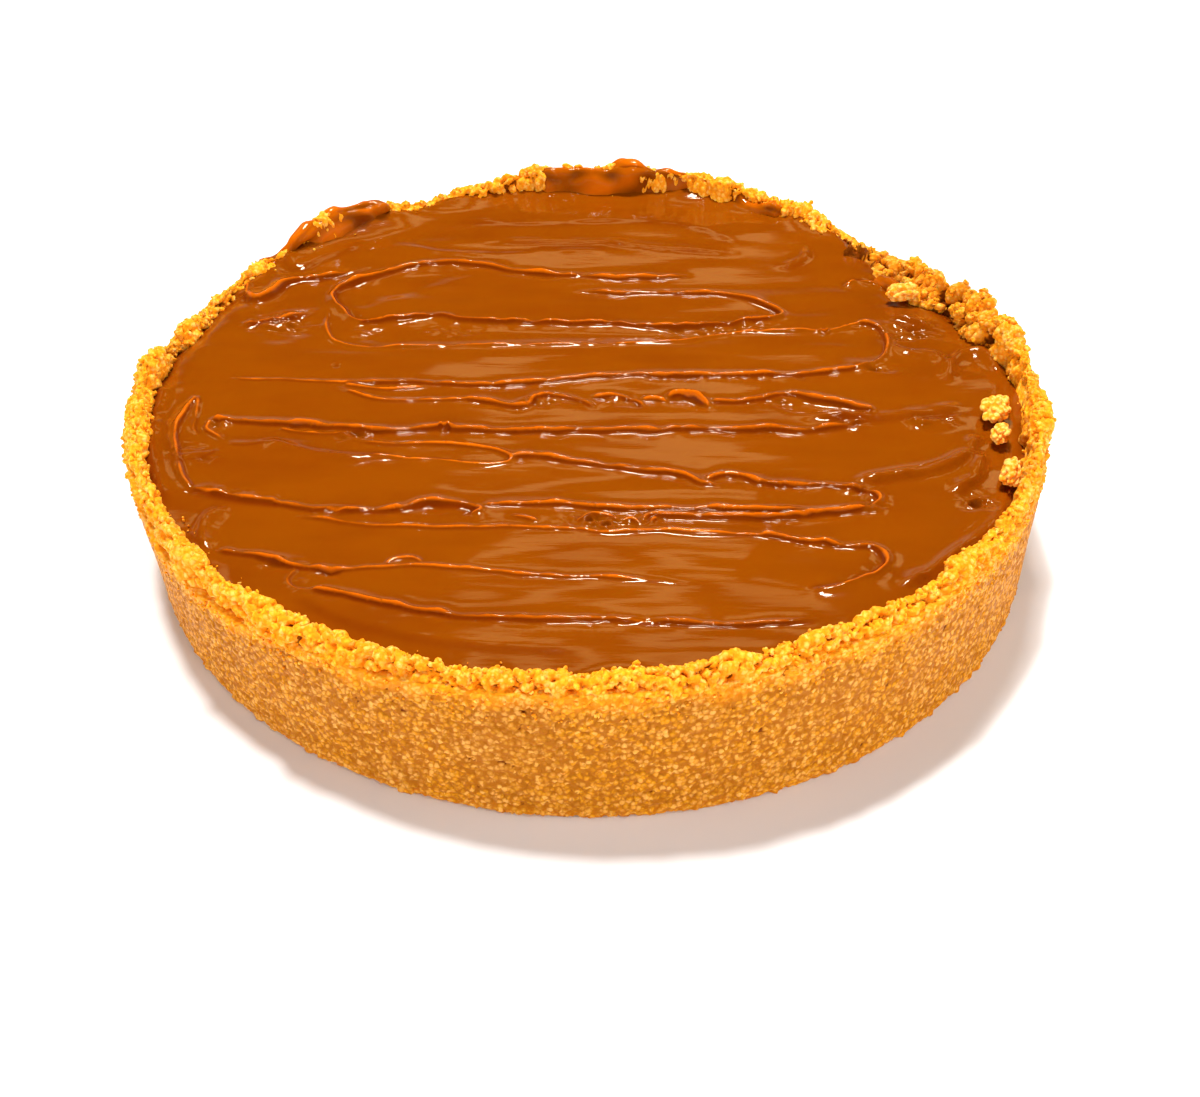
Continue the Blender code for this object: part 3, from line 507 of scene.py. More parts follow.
def caramel_material(colours):
    """Glossy caramel: deeper in colour at random and in grooves, where shade is painted, and lighter on
    crests, where a painted highlight stands partly for thin caramel.
    """
    material, tree, shader = new_material("glossy_caramel")
    cloud = speckle(tree, 38, 4, (1, 2.4, 1))
    tone = mixed(tree, ranged(tree, cloud.outputs["Fac"], 0.4, 0.75, 0.0, 0.30), colours.caramel,
                 colours.caramel_deep_and_shade)
    # painted shade: the dark bands beside ridges, in bubble craters and in the groove by the crust
    tone = mixed(tree, ranged(tree, attribute(tree, "shade"), 0.05, 1.0, 0.0, 0.85), tone,
                 colours.caramel_deep_and_shade)
    # painted highlight on the crests, partly the paler colour of thin caramel
    tone = mixed(tree, ranged(tree, attribute(tree, "crest"), 0.35, 1.0, 0.0, 0.9), tone,
                 colours.caramel_thin_and_highlight)
    link(tree, tone, shader.inputs["Base Color"])
    shader.inputs["Roughness"].default_value = 0.08
    shader.inputs["IOR"].default_value = 1.47
    shader.inputs["Specular IOR Level"].default_value = 0.40
    shader.inputs["Specular Tint"].default_value = (1.0, 0.88, 0.62, 1.0)
    shader.inputs["Subsurface Weight"].default_value = 0.2
    shader.inputs["Subsurface Radius"].default_value = (1.0, 0.28, 0.04)
    shader.inputs["Subsurface Scale"].default_value = 0.0018
    streaks = speckle(tree, 1, 4, (90, 700, 90))
    bump(tree, shader, streaks.outputs["Fac"], 0.5, 0.00008)
    return material


def crumb_material(colours):
    """Baked crumb made of rounded grains: fresh where it broke, browned where it was pressed, with
    painted shade between grains and in low places and a painted highlight on each grain's top.
    """
    material, tree, shader = new_material(CRUMB)
    wobble = speckle(tree, 900, 2)
    grains = speckle(tree, 800, 0, kind="ShaderNodeTexVoronoi")
    shifted = add(tree, "ShaderNodeVectorMath", operation="MULTIPLY_ADD")
    link(tree, wobble.outputs["Color"], shifted.inputs[0])
    shifted.inputs[1].default_value = (0.0009, 0.0009, 0.0009)
    link(tree, grains.inputs["Vector"].links[0].from_socket, shifted.inputs[2])
    link(tree, shifted.outputs[0], grains.inputs["Vector"])
    grit = speckle(tree, 2600, 2)
    patches = speckle(tree, 70, 4)
    spots = speckle(tree, 330, 2)
    parts = add(tree, "ShaderNodeSeparateColor")
    link(tree, grains.outputs["Color"], parts.inputs[0])
    fresh = attribute(tree, "fresh")
    light = mixed(tree, fresh, colours.sand, colours.grain)
    dark = mixed(tree, fresh, colours.pit, colours.crevice)
    body = mixed(tree, fresh, colours.wall, colours.rim)
    body = mixed(tree, ranged(tree, patches.outputs["Fac"], 0.45, 0.7, 0.0, 0.45), body,
                 colours.browned)
    body = mixed(tree, ranged(tree, parts.outputs[1], 0.0, 0.4, 0.5, 0.0), body, dark)
    body = mixed(tree, ranged(tree, parts.outputs[0], 0.45, 1.0, 0.0, 0.6), body, light)
    # painted highlight: lighter at the middle of each grain
    body = mixed(tree, ranged(tree, grains.outputs["Distance"], 0.05, 0.32, 0.35, 0.0), body,
                 light)
    body = mixed(tree, ranged(tree, attribute(tree, "pale"), 0.0, 1.0, 0.0, 0.6), body, light)
    # painted shade: darker in the creases between grains
    crease = ranged(tree, grains.outputs["Distance"], 0.38, 0.68, 0.0, 0.95)
    body = mixed(tree, crease, body, dark)
    body = mixed(tree, ranged(tree, spots.outputs["Fac"], 0.58, 0.70, 0.0, 0.65), body, dark)
    # painted shade: darker in low places, with near-black painted shadow in the deepest holes
    depth = attribute(tree, "depth")
    body = mixed(tree, ranged(tree, depth, 0.08, 0.6, 0.85, 0.0), body, dark)
    body = mixed(tree, ranged(tree, depth, 0.0, 0.09, 0.9, 0.0), body, colours.hole_shadow)
    link(tree, body, shader.inputs["Base Color"])
    shader.inputs["Roughness"].default_value = 0.5
    shader.inputs["Specular IOR Level"].default_value = 0.12
    shader.inputs["Specular Tint"].default_value = (1.0, 0.8, 0.35, 1.0)
    shader.inputs["Subsurface Weight"].default_value = 0.22
    shader.inputs["Subsurface Radius"].default_value = (1.0, 0.42, 0.08)
    shader.inputs["Subsurface Scale"].default_value = 0.0009
    rounded = ranged(tree, grains.outputs["Distance"], 0.0, 0.85, 1.0, 0.0)
    first = bump(tree, shader, grit.outputs["Fac"], 0.3, 0.0001)
    bump(tree, shader, rounded, 0.6, 0.0005, first)
    return material


def floor_material(colours):
    """A pale table with a faint mottle."""
    material, tree, shader = new_material("pale_table")
    mottle = speckle(tree, 3, 3)
    tone = mixed(tree, ranged(tree, mottle.outputs["Fac"], 0.3, 0.7), colours.floor,
                 tuple(0.985 * part for part in colours.floor))
    link(tree, tone, shader.inputs["Base Color"])
    shader.inputs["Roughness"].default_value = 0.6
    return material


def made_before(name):
    """A material that an earlier operator made."""
    material = bpy.data.materials.get(name)
    if material is None:
        raise RuntimeError(f"{name} is missing: press the wall first")
    return material


# ---- caramel ---------------------------------------------------------------------------------
def map_axis():
    """Plan places of the height map's columns, and of its rows."""
    return (np.arange(MAP_COUNT) - MAP_COUNT // 2) * MAP_STEP


def splat(target, x, y, weight):
    """Adds weights to a map at plan places, shared between the four nearest cells."""
    column, row = x / MAP_STEP + MAP_COUNT // 2, y / MAP_STEP + MAP_COUNT // 2
    keep = (column > 1) & (column < MAP_COUNT - 2) & (row > 1) & (row < MAP_COUNT - 2)
    column, row, weight = column[keep], row[keep], weight[keep]
    left, low = np.floor(column).astype(int), np.floor(row).astype(int)
    right_share, up_share = column - left, row - low
    for step_x, share_x in ((0, 1 - right_share), (1, right_share)):
        for step_y, share_y in ((0, 1 - up_share), (1, up_share)):
            np.add.at(target, (low + step_y, left + step_x), weight * share_x * share_y)


def read_map(values, x, y):
    """A map's values at plan places, between its four nearest cells."""
    column = np.clip(x / MAP_STEP + MAP_COUNT // 2, 0, MAP_COUNT - 1.001)
    row = np.clip(y / MAP_STEP + MAP_COUNT // 2, 0, MAP_COUNT - 1.001)
    left, low = np.floor(column).astype(int), np.floor(row).astype(int)
    across, up = column - left, row - low
    return ((values[low, left] * (1 - across) + values[low, left + 1] * across) * (1 - up)
            + (values[low + 1, left] * (1 - across) + values[low + 1, left + 1] * across) * up)


def wander(count, step, length, seed):
    """Smooth one-dimensional noise of unit strength."""
    white = np.random.default_rng(seed).standard_normal((1, count + 64))
    run = blurred(white, step, length, 0.0)[0][:count]
    return run / max(run.std(), 1e-9)


def draw_knife_marks(height_factor):
    """Maps of the ridges with their grooves, of the painted highlight lines on the crests and of the
    painted shade bands below.
    """
    step = 0.12
    layers = {}

    def draw(kind, spread, places, weight):
        layer = layers.setdefault((kind, spread), np.zeros((MAP_COUNT, MAP_COUNT)))
        splat(layer, places[:, 0], places[:, 1], weight * spread * math.sqrt(2 * math.pi))

    for number, (section, height, side, fade_in, fade_out, points) in enumerate(KNIFE_MARKS):
        along, places, direction = smooth_run(points, step)
        total = along[-1]
        fullness = np.ones(len(along))
        if fade_in:
            fullness *= np.clip(0.12 + along / fade_in, 0, 1)
        if fade_out:
            fullness *= np.clip(0.12 + (total - along) / fade_out, 0, 1)
        uneven = 1 + 0.20 * wander(len(along), step, 2.6, 50 + number) \
            + 0.13 * wander(len(along), step, 0.9, 350 + number)
        blunt = np.clip(0.35 + 0.7 * wander(len(along), step, 3.0, 1300 + number), 0, 1)
        scooped = np.clip(1 + 0.65 * wander(len(along), step, 1.5, 2300 + number), 0, 2.4)
        spacing = total / (len(along) - 1) / MAP_STEP ** 2
        normal = np.column_stack((-direction[:, 1], direction[:, 0]))
        places = places + normal * (0.16 * wander(len(along), step, 2.5, 700 + number))[:, None]
        for way in ((1, -1) if side == 0 else (side,)):
            for offset, spread, share in SECTIONS[section]:
                weight = height * height_factor * fullness * uneven * share * spacing
                if offset:
                    draw("ridge", spread, places + normal * way * offset,
                         weight * scooped if offset > 0 else weight)
                elif way == 1 or side:
                    draw("ridge", spread, places, weight * (1 - blunt))
                    draw("ridge", max(spread, BLUNT_SPREAD), places, weight * blunt)
            # painted shade: a dark band beside each ridge, on its groove side
            offset, spread, share = SHADES[section]
            draw("shade", spread, places + normal * way * offset, fullness * share * spacing)
        # painted highlight: a light line along each ridge's crest
        if section != SWELL:
            draw("crest", CREST_HIGHLIGHT_SPREAD, places, fullness * uneven * spacing)
    maps = {kind: np.zeros((MAP_COUNT, MAP_COUNT)) for kind in ("ridge", "crest", "shade")}
    for (kind, spread), layer in layers.items():
        maps[kind] += blurred(layer, MAP_STEP, spread, spread)
    return maps


def inside_outline(outline, x, y):
    """Even-odd test of plan places against a closed outline."""
    inside = np.zeros(x.shape, dtype=bool)
    corners = np.array(outline, dtype=float)
    for (x1, y1), (x2, y2) in zip(corners, np.roll(corners, -1, axis=0)):
        if y1 == y2:
            continue
        crosses = (y1 > y) != (y2 > y)
        inside ^= crosses & (x < (x2 - x1) * (y - y1) / (y2 - y1) + x1)
    return inside


def caramel_maps(sizes):
    """Maps of the caramel's height in plan millimetres, its painted highlight lines on the crests and
    its painted shade bands.
    """
    axis = map_axis()
    x, y = np.meshgrid(axis, axis)
    radius, angle = np.hypot(x, y), np.arctan2(y, x)
    edge = around(INSIDE_RADIUS, angle)
    lift = around(EDGE_LIFT, angle)
    level = LEVEL + BACK_RISE * np.clip(y / 113.5 - 0.5, 0, 1) * 2
    near = np.clip((radius - edge + EDGE_WIDTH) / EDGE_WIDTH, 0, 1.3)
    level += lift * near ** 2
    shape = (MAP_COUNT, MAP_COUNT)
    level += 0.28 * soft_noise(shape, MAP_STEP, 22, 9, 11)
    level += 4 * sizes.skin_ripple * soft_noise(shape, MAP_STEP, 13, 3.4, 15)
    level += sizes.skin_ripple * soft_noise(shape, MAP_STEP, 6, 1.5, 12)
    level += (0.15 + 0.3 * near) * soft_noise(shape, MAP_STEP, 5, 5, 16) * near
    maps = draw_knife_marks(sizes.mark_height)
    marks = maps["ridge"]
    for depth, spread, outline in PRESSED_AREAS:
        pressed = inside_outline(outline, x, y).astype(float)
        marks -= PRESS_SHARE * depth * blurred(pressed, MAP_STEP, spread, spread)
    crinkle = soft_noise(shape, MAP_STEP, 1.1, 0.55, 14)
    for place_x, place_y, long, wide, strength in WRINKLES:
        share = np.exp(-((x - place_x) / long) ** 2 - ((y - place_y) / wide) ** 2)
        marks += WRINKLE_HEIGHT * strength * share * crinkle
    for place_x, place_y, ring, height, depth in RINGS:
        away = np.hypot(x - place_x, y - place_y)
        marks += height * np.exp(-((away - ring) / 0.45) ** 2)
        marks -= depth * np.exp(-(away / (0.75 * ring)) ** 2)
        # painted shade inside each bubble ring
        maps["shade"] += 0.6 * np.exp(-(away / ring) ** 2)
    fading = np.clip((edge - radius + 1.5) / 3.0, 0, 1)
    maps["height"] = level + marks * fading
    # painted shade in the groove where the caramel sinks below the crust
    maps["shade"] += np.clip(-lift / 2, 0, 1) * np.exp(-((radius - edge) / 1.4) ** 2)
    return maps


def caramel_places():
    """Plan places for the caramel's skin: closely spaced across each ridge, wider on the flats."""
    found = []
    for section, _, _, _, _, points in KNIFE_MARKS:
        broad = section == SWELL
        _, places, direction = smooth_run(points, 1.5 if broad else 0.75)
        normal = np.column_stack((-direction[:, 1], direction[:, 0]))
        offsets = (0, 0.9, 1.9, 3.0, 4.4) if broad else (0, 0.27, 0.58, 0.95, 1.45, 2.2, 3.2)
        for offset in offsets:
            for way in ((1,) if offset == 0 else (1, -1)):
                found.append(places + normal * way * offset)
    for x, y, long, wide, _ in WRINKLES:
        grid = np.meshgrid(np.arange(-1.25 * long, 1.25 * long, 0.62),
                           np.arange(-1.25 * wide, 1.25 * wide, 0.42))
        patch = np.column_stack((grid[0].ravel(), grid[1].ravel()))
        keep = (patch[:, 0] / long) ** 2 + (patch[:, 1] / wide) ** 2 < 1.5
        found.append(patch[keep] + (x, y))
    for x, y, ring, _, _ in RINGS:
        for reach in np.arange(0.3, ring + 1.2, 0.3):
            turn = np.linspace(0, 2 * math.pi, max(6, int(2 * math.pi * reach / 0.35)))[:-1]
            found.append(np.column_stack((x + reach * np.cos(turn), y + reach * np.sin(turn))))
    flats = np.meshgrid(np.arange(-120, 120, 1.6), np.arange(-120, 120, 0.95))
    flats[0][::2] += 0.8
    found.append(np.column_stack((flats[0].ravel(), flats[1].ravel())))
    places = np.vstack(found)
    radius, angle = np.hypot(*places.T), np.arctan2(places[:, 1], places[:, 0])
    places = places[radius < around(INSIDE_RADIUS, angle) + 0.9]
    cell = np.floor(places / 0.3).astype(np.int64)
    _, first = np.unique(cell[:, 0] * 100000 + cell[:, 1], return_index=True)
    return places[np.sort(first)]


def caramel_outline(count=900, reach=1.6):
    """Plan points round the caramel, a little way into the crust."""
    angle = np.arange(count) * 2 * math.pi / count
    radius = around(INSIDE_RADIUS, angle) + reach
    return np.column_stack((radius * np.cos(angle), radius * np.sin(angle)))


def caramel_skin(sizes):
    """Points in metres, faces and the painted highlight and shade attributes of the closed caramel
    body.
    """
    outline = caramel_outline()
    places = np.vstack((outline, caramel_places()))
    inside_only = 1
    plan, _, faces, _, _, _ = geometry.delaunay_2d_cdt(
        [Vector(place) for place in places], [], [list(range(len(outline)))], inside_only, 1e-4)
    plan = np.array([tuple(place) for place in plan])
    faces = np.array([tuple(face) for face in faces])
    used, faces = np.unique(faces, return_inverse=True)
    faces = faces.reshape(-1, 3)
    plan = plan[used]
    maps = caramel_maps(sizes)
    height = read_map(maps["height"], plan[:, 0], plan[:, 1])
    sides = np.vstack((faces[:, (0, 1)], faces[:, (1, 2)], faces[:, (2, 0)]))
    key = np.sort(sides, axis=1)
    _, index, count = np.unique(key[:, 0] * len(plan) + key[:, 1], return_index=True,
                                return_counts=True)
    border = sides[index[count == 1]]
    rim_points = np.unique(border)
    under = dict(zip(rim_points.tolist(), range(len(plan), len(plan) + len(rim_points))))
    low = CARAMEL_UNDERSIDE + 1.0
    points = np.vstack((np.column_stack((plan, height)),
                        np.column_stack((plan[rim_points], np.full(len(rim_points), low))),
                        [(0, 0, low)]))
    middle = len(points) - 1
    closed = faces.tolist()
    for a, b in border.tolist():
        closed.append([b, a, under[a], under[b]])
        closed.append([under[b], under[a], middle])
    colouring = {label: np.concatenate((read_map(maps[label], plan[:, 0], plan[:, 1]),
                                        np.zeros(len(rim_points) + 1)))
                 for label in ("crest", "shade")}
    points = points * UNIT + (0, 0, FLOOR_Z)
    return points, closed_outward(points, closed), colouring


# ---- crust --------------------------------------------------------------------------------------
def pack_grains(columns, rows, cell, count, small, large, seed):
    """Height of half-buried balls that lie on an unrolled strip, where the topmost one counts."""
    rng = np.random.default_rng(seed)
    x, y = rng.uniform(0, columns, count), rng.uniform(-2, rows + 2, count)
    radius = small * (large / small) ** (rng.random(count) ** 1.6)
    lift = rng.uniform(-0.45, 0.05, count) * radius
    top = np.full((columns, rows), -3.0)
    reach_x, reach_y = (int(math.ceil(large / size)) + 1 for size in cell)
    for step_x in range(-reach_x, reach_x + 1):
        for step_y in range(-reach_y, reach_y + 1):
            column, row = np.floor(x).astype(int) + step_x, np.floor(y).astype(int) + step_y
            away = ((column + 0.5 - x) * cell[0]) ** 2 + ((row + 0.5 - y) * cell[1]) ** 2
            keep = (away < radius ** 2) & (row >= 0) & (row < rows)
            height = lift[keep] + np.sqrt(radius[keep] ** 2 - away[keep])
            np.maximum.at(top, (column[keep] % columns, row[keep]), height)
    return top


def through_controls(controls, at):
    """Catmull-Rom through control columns (angles by controls) at parameters along them."""
    padded = np.concatenate((2 * controls[:, :1] - controls[:, 1:2], controls,
                             2 * controls[:, -1:] - controls[:, -2:-1]), axis=1)
    base = np.clip(np.floor(at).astype(int), 0, controls.shape[1] - 2)
    t = at - base
    a, b, c, d = (padded[:, base + k] for k in range(4))
    return 0.5 * (2 * b + (c - a) * t + (2 * a - 5 * b + 4 * c - d) * t ** 2
                  + (3 * b - a - 3 * c + d) * t ** 3)


def rim_controls(angle):
    """Radius and height of the rim's section, from the caramel over the crest to the wall."""
    inside, shoulder = around(INSIDE_RADIUS, angle), around(SHOULDER_RADIUS, angle)
    crest, pressed = around(CREST_HEIGHT, angle), around(PRESSED_HEIGHT, angle)
    width = shoulder - inside
    wall = wall_radius(angle, pressed)
    low = np.full(len(angle), LEVEL - 3.0)
    slope = np.clip((around(CHUNKINESS, angle) - 1.15) / 0.3, 0, 1)
    radius = np.column_stack((inside + 0.4, inside, inside + 0.10 * width, inside + 0.28 * width,
                              inside + 0.45 * width, inside + 0.68 * width,
                              inside + 0.90 * width, shoulder, wall - 0.1, wall - 0.6))
    height = np.column_stack((low, np.minimum(crest - 4.5, LEVEL + 0.5), crest - 2.0 - 3.2 * slope,
                              crest - 0.5 - 2.9 * slope, crest - 1.7 * slope,
                              crest - 0.9 + 0.6 * slope, crest - 3.2, crest - 6.3,
                              np.minimum(pressed + 0.6, crest - 7.0),
                              np.minimum(pressed + 0.6, crest - 7.0) - 2.4))
    return radius, height


def wall_radius(angle, height):
    """Outside of the pressed wall, which leans out a little towards the rim."""
    shoulder, crest = around(SHOULDER_RADIUS, angle), around(CREST_HEIGHT, angle)
    return BASE_RADIUS + (shoulder - BASE_RADIUS) * np.clip(height / (crest - 6.3), 0, 1.1) ** 1.3


def ring_places(angle, radius, height):
    """Points (columns by rows by 3) in plan millimetres."""
    return np.stack((radius * np.cos(angle)[:, None], radius * np.sin(angle)[:, None], height),
                    axis=-1)


def rim_lengths():
    """Distance along the mean section of the rim at each of its controls."""
    radius, height = (part.mean(axis=0) for part in rim_controls(np.radians(np.arange(360))))
    return np.concatenate(([0], np.cumsum(np.hypot(np.diff(radius), np.diff(height)))))


def rim_section(angle, share):
    """Points of the bare rim, and outward normals, at shares of the section's length."""
    radius_c, height_c = rim_controls(angle)
    lengths = rim_lengths()
    at = np.interp(share * lengths[-1], lengths, np.arange(len(lengths)))
    radius, height = through_controls(radius_c, at), through_controls(height_c, at)
    points = ring_places(angle, radius, height)
    normal = np.cross(np.gradient(points, axis=1), np.gradient(points, axis=0))
    normal /= np.maximum(np.linalg.norm(normal, axis=-1, keepdims=True), 1e-9)
    return points, normal


def rim_surface(columns, rows):
    """Bare rim right round the cake: angles, points, outward normals and section length."""
    angle = np.arange(columns) * 2 * math.pi / columns
    padded = np.concatenate((angle[-1:], angle, angle[:1]))
    points, normal = rim_section(padded, np.linspace(0, 1, rows))
    return angle, points[1:-1], normal[1:-1], rim_lengths()[-1]


@functools.lru_cache(maxsize=1)
def rim_relief(grain):
    """Places, normals and relief of the broken rim, with how deep each place is, for painted shade, and
    how fresh, lowered as painted shade where the rim is coarsest.
    """
    rows = RIM_ROWS
    angle, points, normal, length = rim_surface(RIM_COLUMNS, rows)
    cell = (2 * math.pi * RIM_MIDDLE / RIM_COLUMNS, length / (rows - 1))
    coarse = pack_grains(RIM_COLUMNS, rows, cell, 7000, 0.62 * grain, 1.35 * grain, 21)
    fine = pack_grains(RIM_COLUMNS, rows, cell, 42000, 0.28 * grain, 0.55 * grain, 22)
    lumps = soft_noise((RIM_COLUMNS, rows), cell[0], 3.4, 3.0, 23)
    broad = soft_noise((RIM_COLUMNS, rows), cell[0], 9.0, 6.0, 24)
    heap = 0.8 * np.clip(coarse, -1.2, 9) + 0.7 * np.clip(fine, -0.5, 9)
    share = (np.arange(rows) / (rows - 1))[None, :]
    loose = np.clip(np.minimum(share / 0.06, (1 - share) / 0.10), 0, 1)
    chunky = around(CHUNKINESS, angle)[:, None]
    lowered = 1.5 * np.clip((share - 0.60) / 0.3, 0, 1)
    coarsest = np.clip(2.4 * (chunky - 1.0), 0, 1)
    popcorn = pack_grains(RIM_COLUMNS, rows, cell, 1500, 1.3, 2.7, 26)
    popcorn = coarsest * (np.clip(popcorn, -1.6, 3) - 0.9)
    holes = soft_noise((RIM_COLUMNS, rows), cell[0], 1.5, 1.3, 25)
    holes = np.clip(holes - 0.75 + 0.45 * coarsest, 0, 1.2)
    holes *= np.maximum(coarsest, 0.22) * loose
    relief = (heap - 0.75 + (0.6 * lumps + 0.4 * broad) * (chunky - 0.7 * coarsest)
              + 0.9 * popcorn) * loose - lowered - 0.6 * (1 - loose) - 2.8 * holes
    # painted shade in low places and near-black painted shadow in the holes
    depth = np.clip((heap + 0.9 + 0.5 * popcorn) / 2.2 - 1.3 * holes, 0, 1)
    height = points[..., 2] + normal[..., 2] * relief
    fresh = np.clip((height - around(PRESSED_HEIGHT, angle)[:, None] + 3.5 + 0.9 * lumps) / 4.5,
                    0, 1)
    # painted shade: the coarsest part of the rim counts as less fresh, so it comes out darker
    return angle, points, normal, relief, depth, fresh * (1 - 0.45 * coarsest)


def make_rim(sizes, material):
    """The broken rim right round the cake, closed by a hidden edge inside the crust."""
    rows = RIM_ROWS
    angle, points, normal, relief, depth, fresh = rim_relief(sizes.rim_grain * 1000)
    points = points + normal * relief[..., None]
    inner = np.stack((np.cos(angle) * RIM_INSIDE, np.sin(angle) * RIM_INSIDE,
                      np.full(len(angle), CRUST_INSIDE)), axis=-1)[:, None, :]
    points = np.concatenate((points, inner), axis=1)
    pad = ((0, 0), (0, 1))
    flat = points.reshape(-1, 3) * UNIT + (0, 0, FLOOR_Z)
    faces = ring_faces(RIM_COLUMNS, rows + 1, True).tolist()
    return mesh_piece("broken_rim", flat, closed_outward_ring(flat, faces), material,
                      {"depth": np.pad(depth, pad).ravel(), "fresh": np.pad(fresh, pad).ravel()})


def closed_outward_ring(points, faces):
    """As closed_outward, with the volume taken about the origin."""
    corners = points[np.array(faces)]
    a, b, c, d = (corners[:, k] for k in range(4))
    volume = np.einsum("ij,ij->i", a, np.cross(b, c)).sum()
    volume += np.einsum("ij,ij->i", a, np.cross(c, d)).sum()
    return [face[::-1] for face in faces] if volume < 0 else faces


def make_wall(sizes, material):
    """The pressed wall with its sandy grains, closed above and below inside the crust."""
    grain = sizes.wall_grain * 1000
    angle = np.arange(WALL_COLUMNS) * 2 * math.pi / WALL_COLUMNS
    top = np.minimum(around(PRESSED_HEIGHT, angle) + 1.2, around(CREST_HEIGHT, angle) - 3.4)
    share = np.linspace(0, 1, WALL_ROWS)
    height = 0.25 + (top[:, None] - 0.25) * share[None, :]
    radius = wall_radius(angle[:, None], height)
    cell = (2 * math.pi * WALL_OUTSIDE / WALL_COLUMNS, WALL_TOP / (WALL_ROWS - 1))
    sand = pack_grains(WALL_COLUMNS, WALL_ROWS, cell, 42000, 0.75 * grain, 1.5 * grain, 31)
    pits = soft_noise((WALL_COLUMNS, WALL_ROWS), cell[0], 0.8, 0.7, 32)
    dents = soft_noise((WALL_COLUMNS, WALL_ROWS), cell[0], 3.0, 2.2, 33)
    relief = 0.5 * np.clip(sand, -0.5, 0.5) - 0.16 * np.clip(pits - 1.3, 0, 2) + 0.06 * dents
    foot = np.exp(-(height / 2.6) ** 2)
    knobs = pack_grains(WALL_COLUMNS, WALL_ROWS, cell, 2600, 0.7, 1.2, 34)
    rough = np.clip(np.maximum(foot, np.clip((height - top[:, None] + 4.5) / 4, 0, 1)), 0, 1)
    relief += rough * 0.55 * np.clip(knobs, -0.5, 1.2)
    radius = radius + relief - 0.35 - 0.5 * np.exp(-(height / 0.9) ** 2)
    rows = [np.full((WALL_COLUMNS, 1), 90.0), radius[:, :1] - 1.6, radius, radius[:, -1:] - 4.0,
            radius[:, -1:] - 5.5]
    levels = [np.full((WALL_COLUMNS, 1), 0.05), np.full((WALL_COLUMNS, 1), 0.05), height,
              height[:, -1:] - 0.4, np.full((WALL_COLUMNS, 1), 31.5)]
    radius, height = np.hstack(rows), np.hstack(levels)
    points = ring_places(angle, radius, height)
    count = radius.shape[1]
    flat = np.vstack((points.reshape(-1, 3), [(0, 0, 0.05), (0, 0, 31.5)]))
    flat = flat * UNIT + (0, 0, FLOOR_Z)
    below, above = len(flat) - 2, len(flat) - 1
    faces = ring_faces(WALL_COLUMNS, count, False).tolist()
    for column in range(WALL_COLUMNS):
        following = (column + 1) % WALL_COLUMNS
        faces.append([following * count, column * count, below])
        faces.append([column * count + count - 1, following * count + count - 1, above])
    # how deep each point is: painted shade between the grains and in pits
    depth = np.clip((np.clip(sand, -0.6, 0.5) + 0.75) / 0.9 - 0.25 * np.clip(pits - 1.2, 0, 2), 0, 1)
    pad = ((0, 0), (2, 2))
    depth = np.append(np.pad(depth, pad, mode="edge").ravel(), (0, 0))
    fresh = np.clip((height[:, 2:-2] - top[:, None] + 5.5 + 0.8 * dents) / 5.5, 0, 0.75)
    fresh = np.maximum(fresh, 0.35 * np.exp(-(height[:, 2:-2] / 3.0) ** 2))
    fresh = np.append(np.pad(fresh, pad, mode="edge").ravel(), (0, 0))
    return mesh_piece("pressed_wall", flat, closed_outward(flat, faces), material,
                      {"depth": depth, "fresh": fresh})


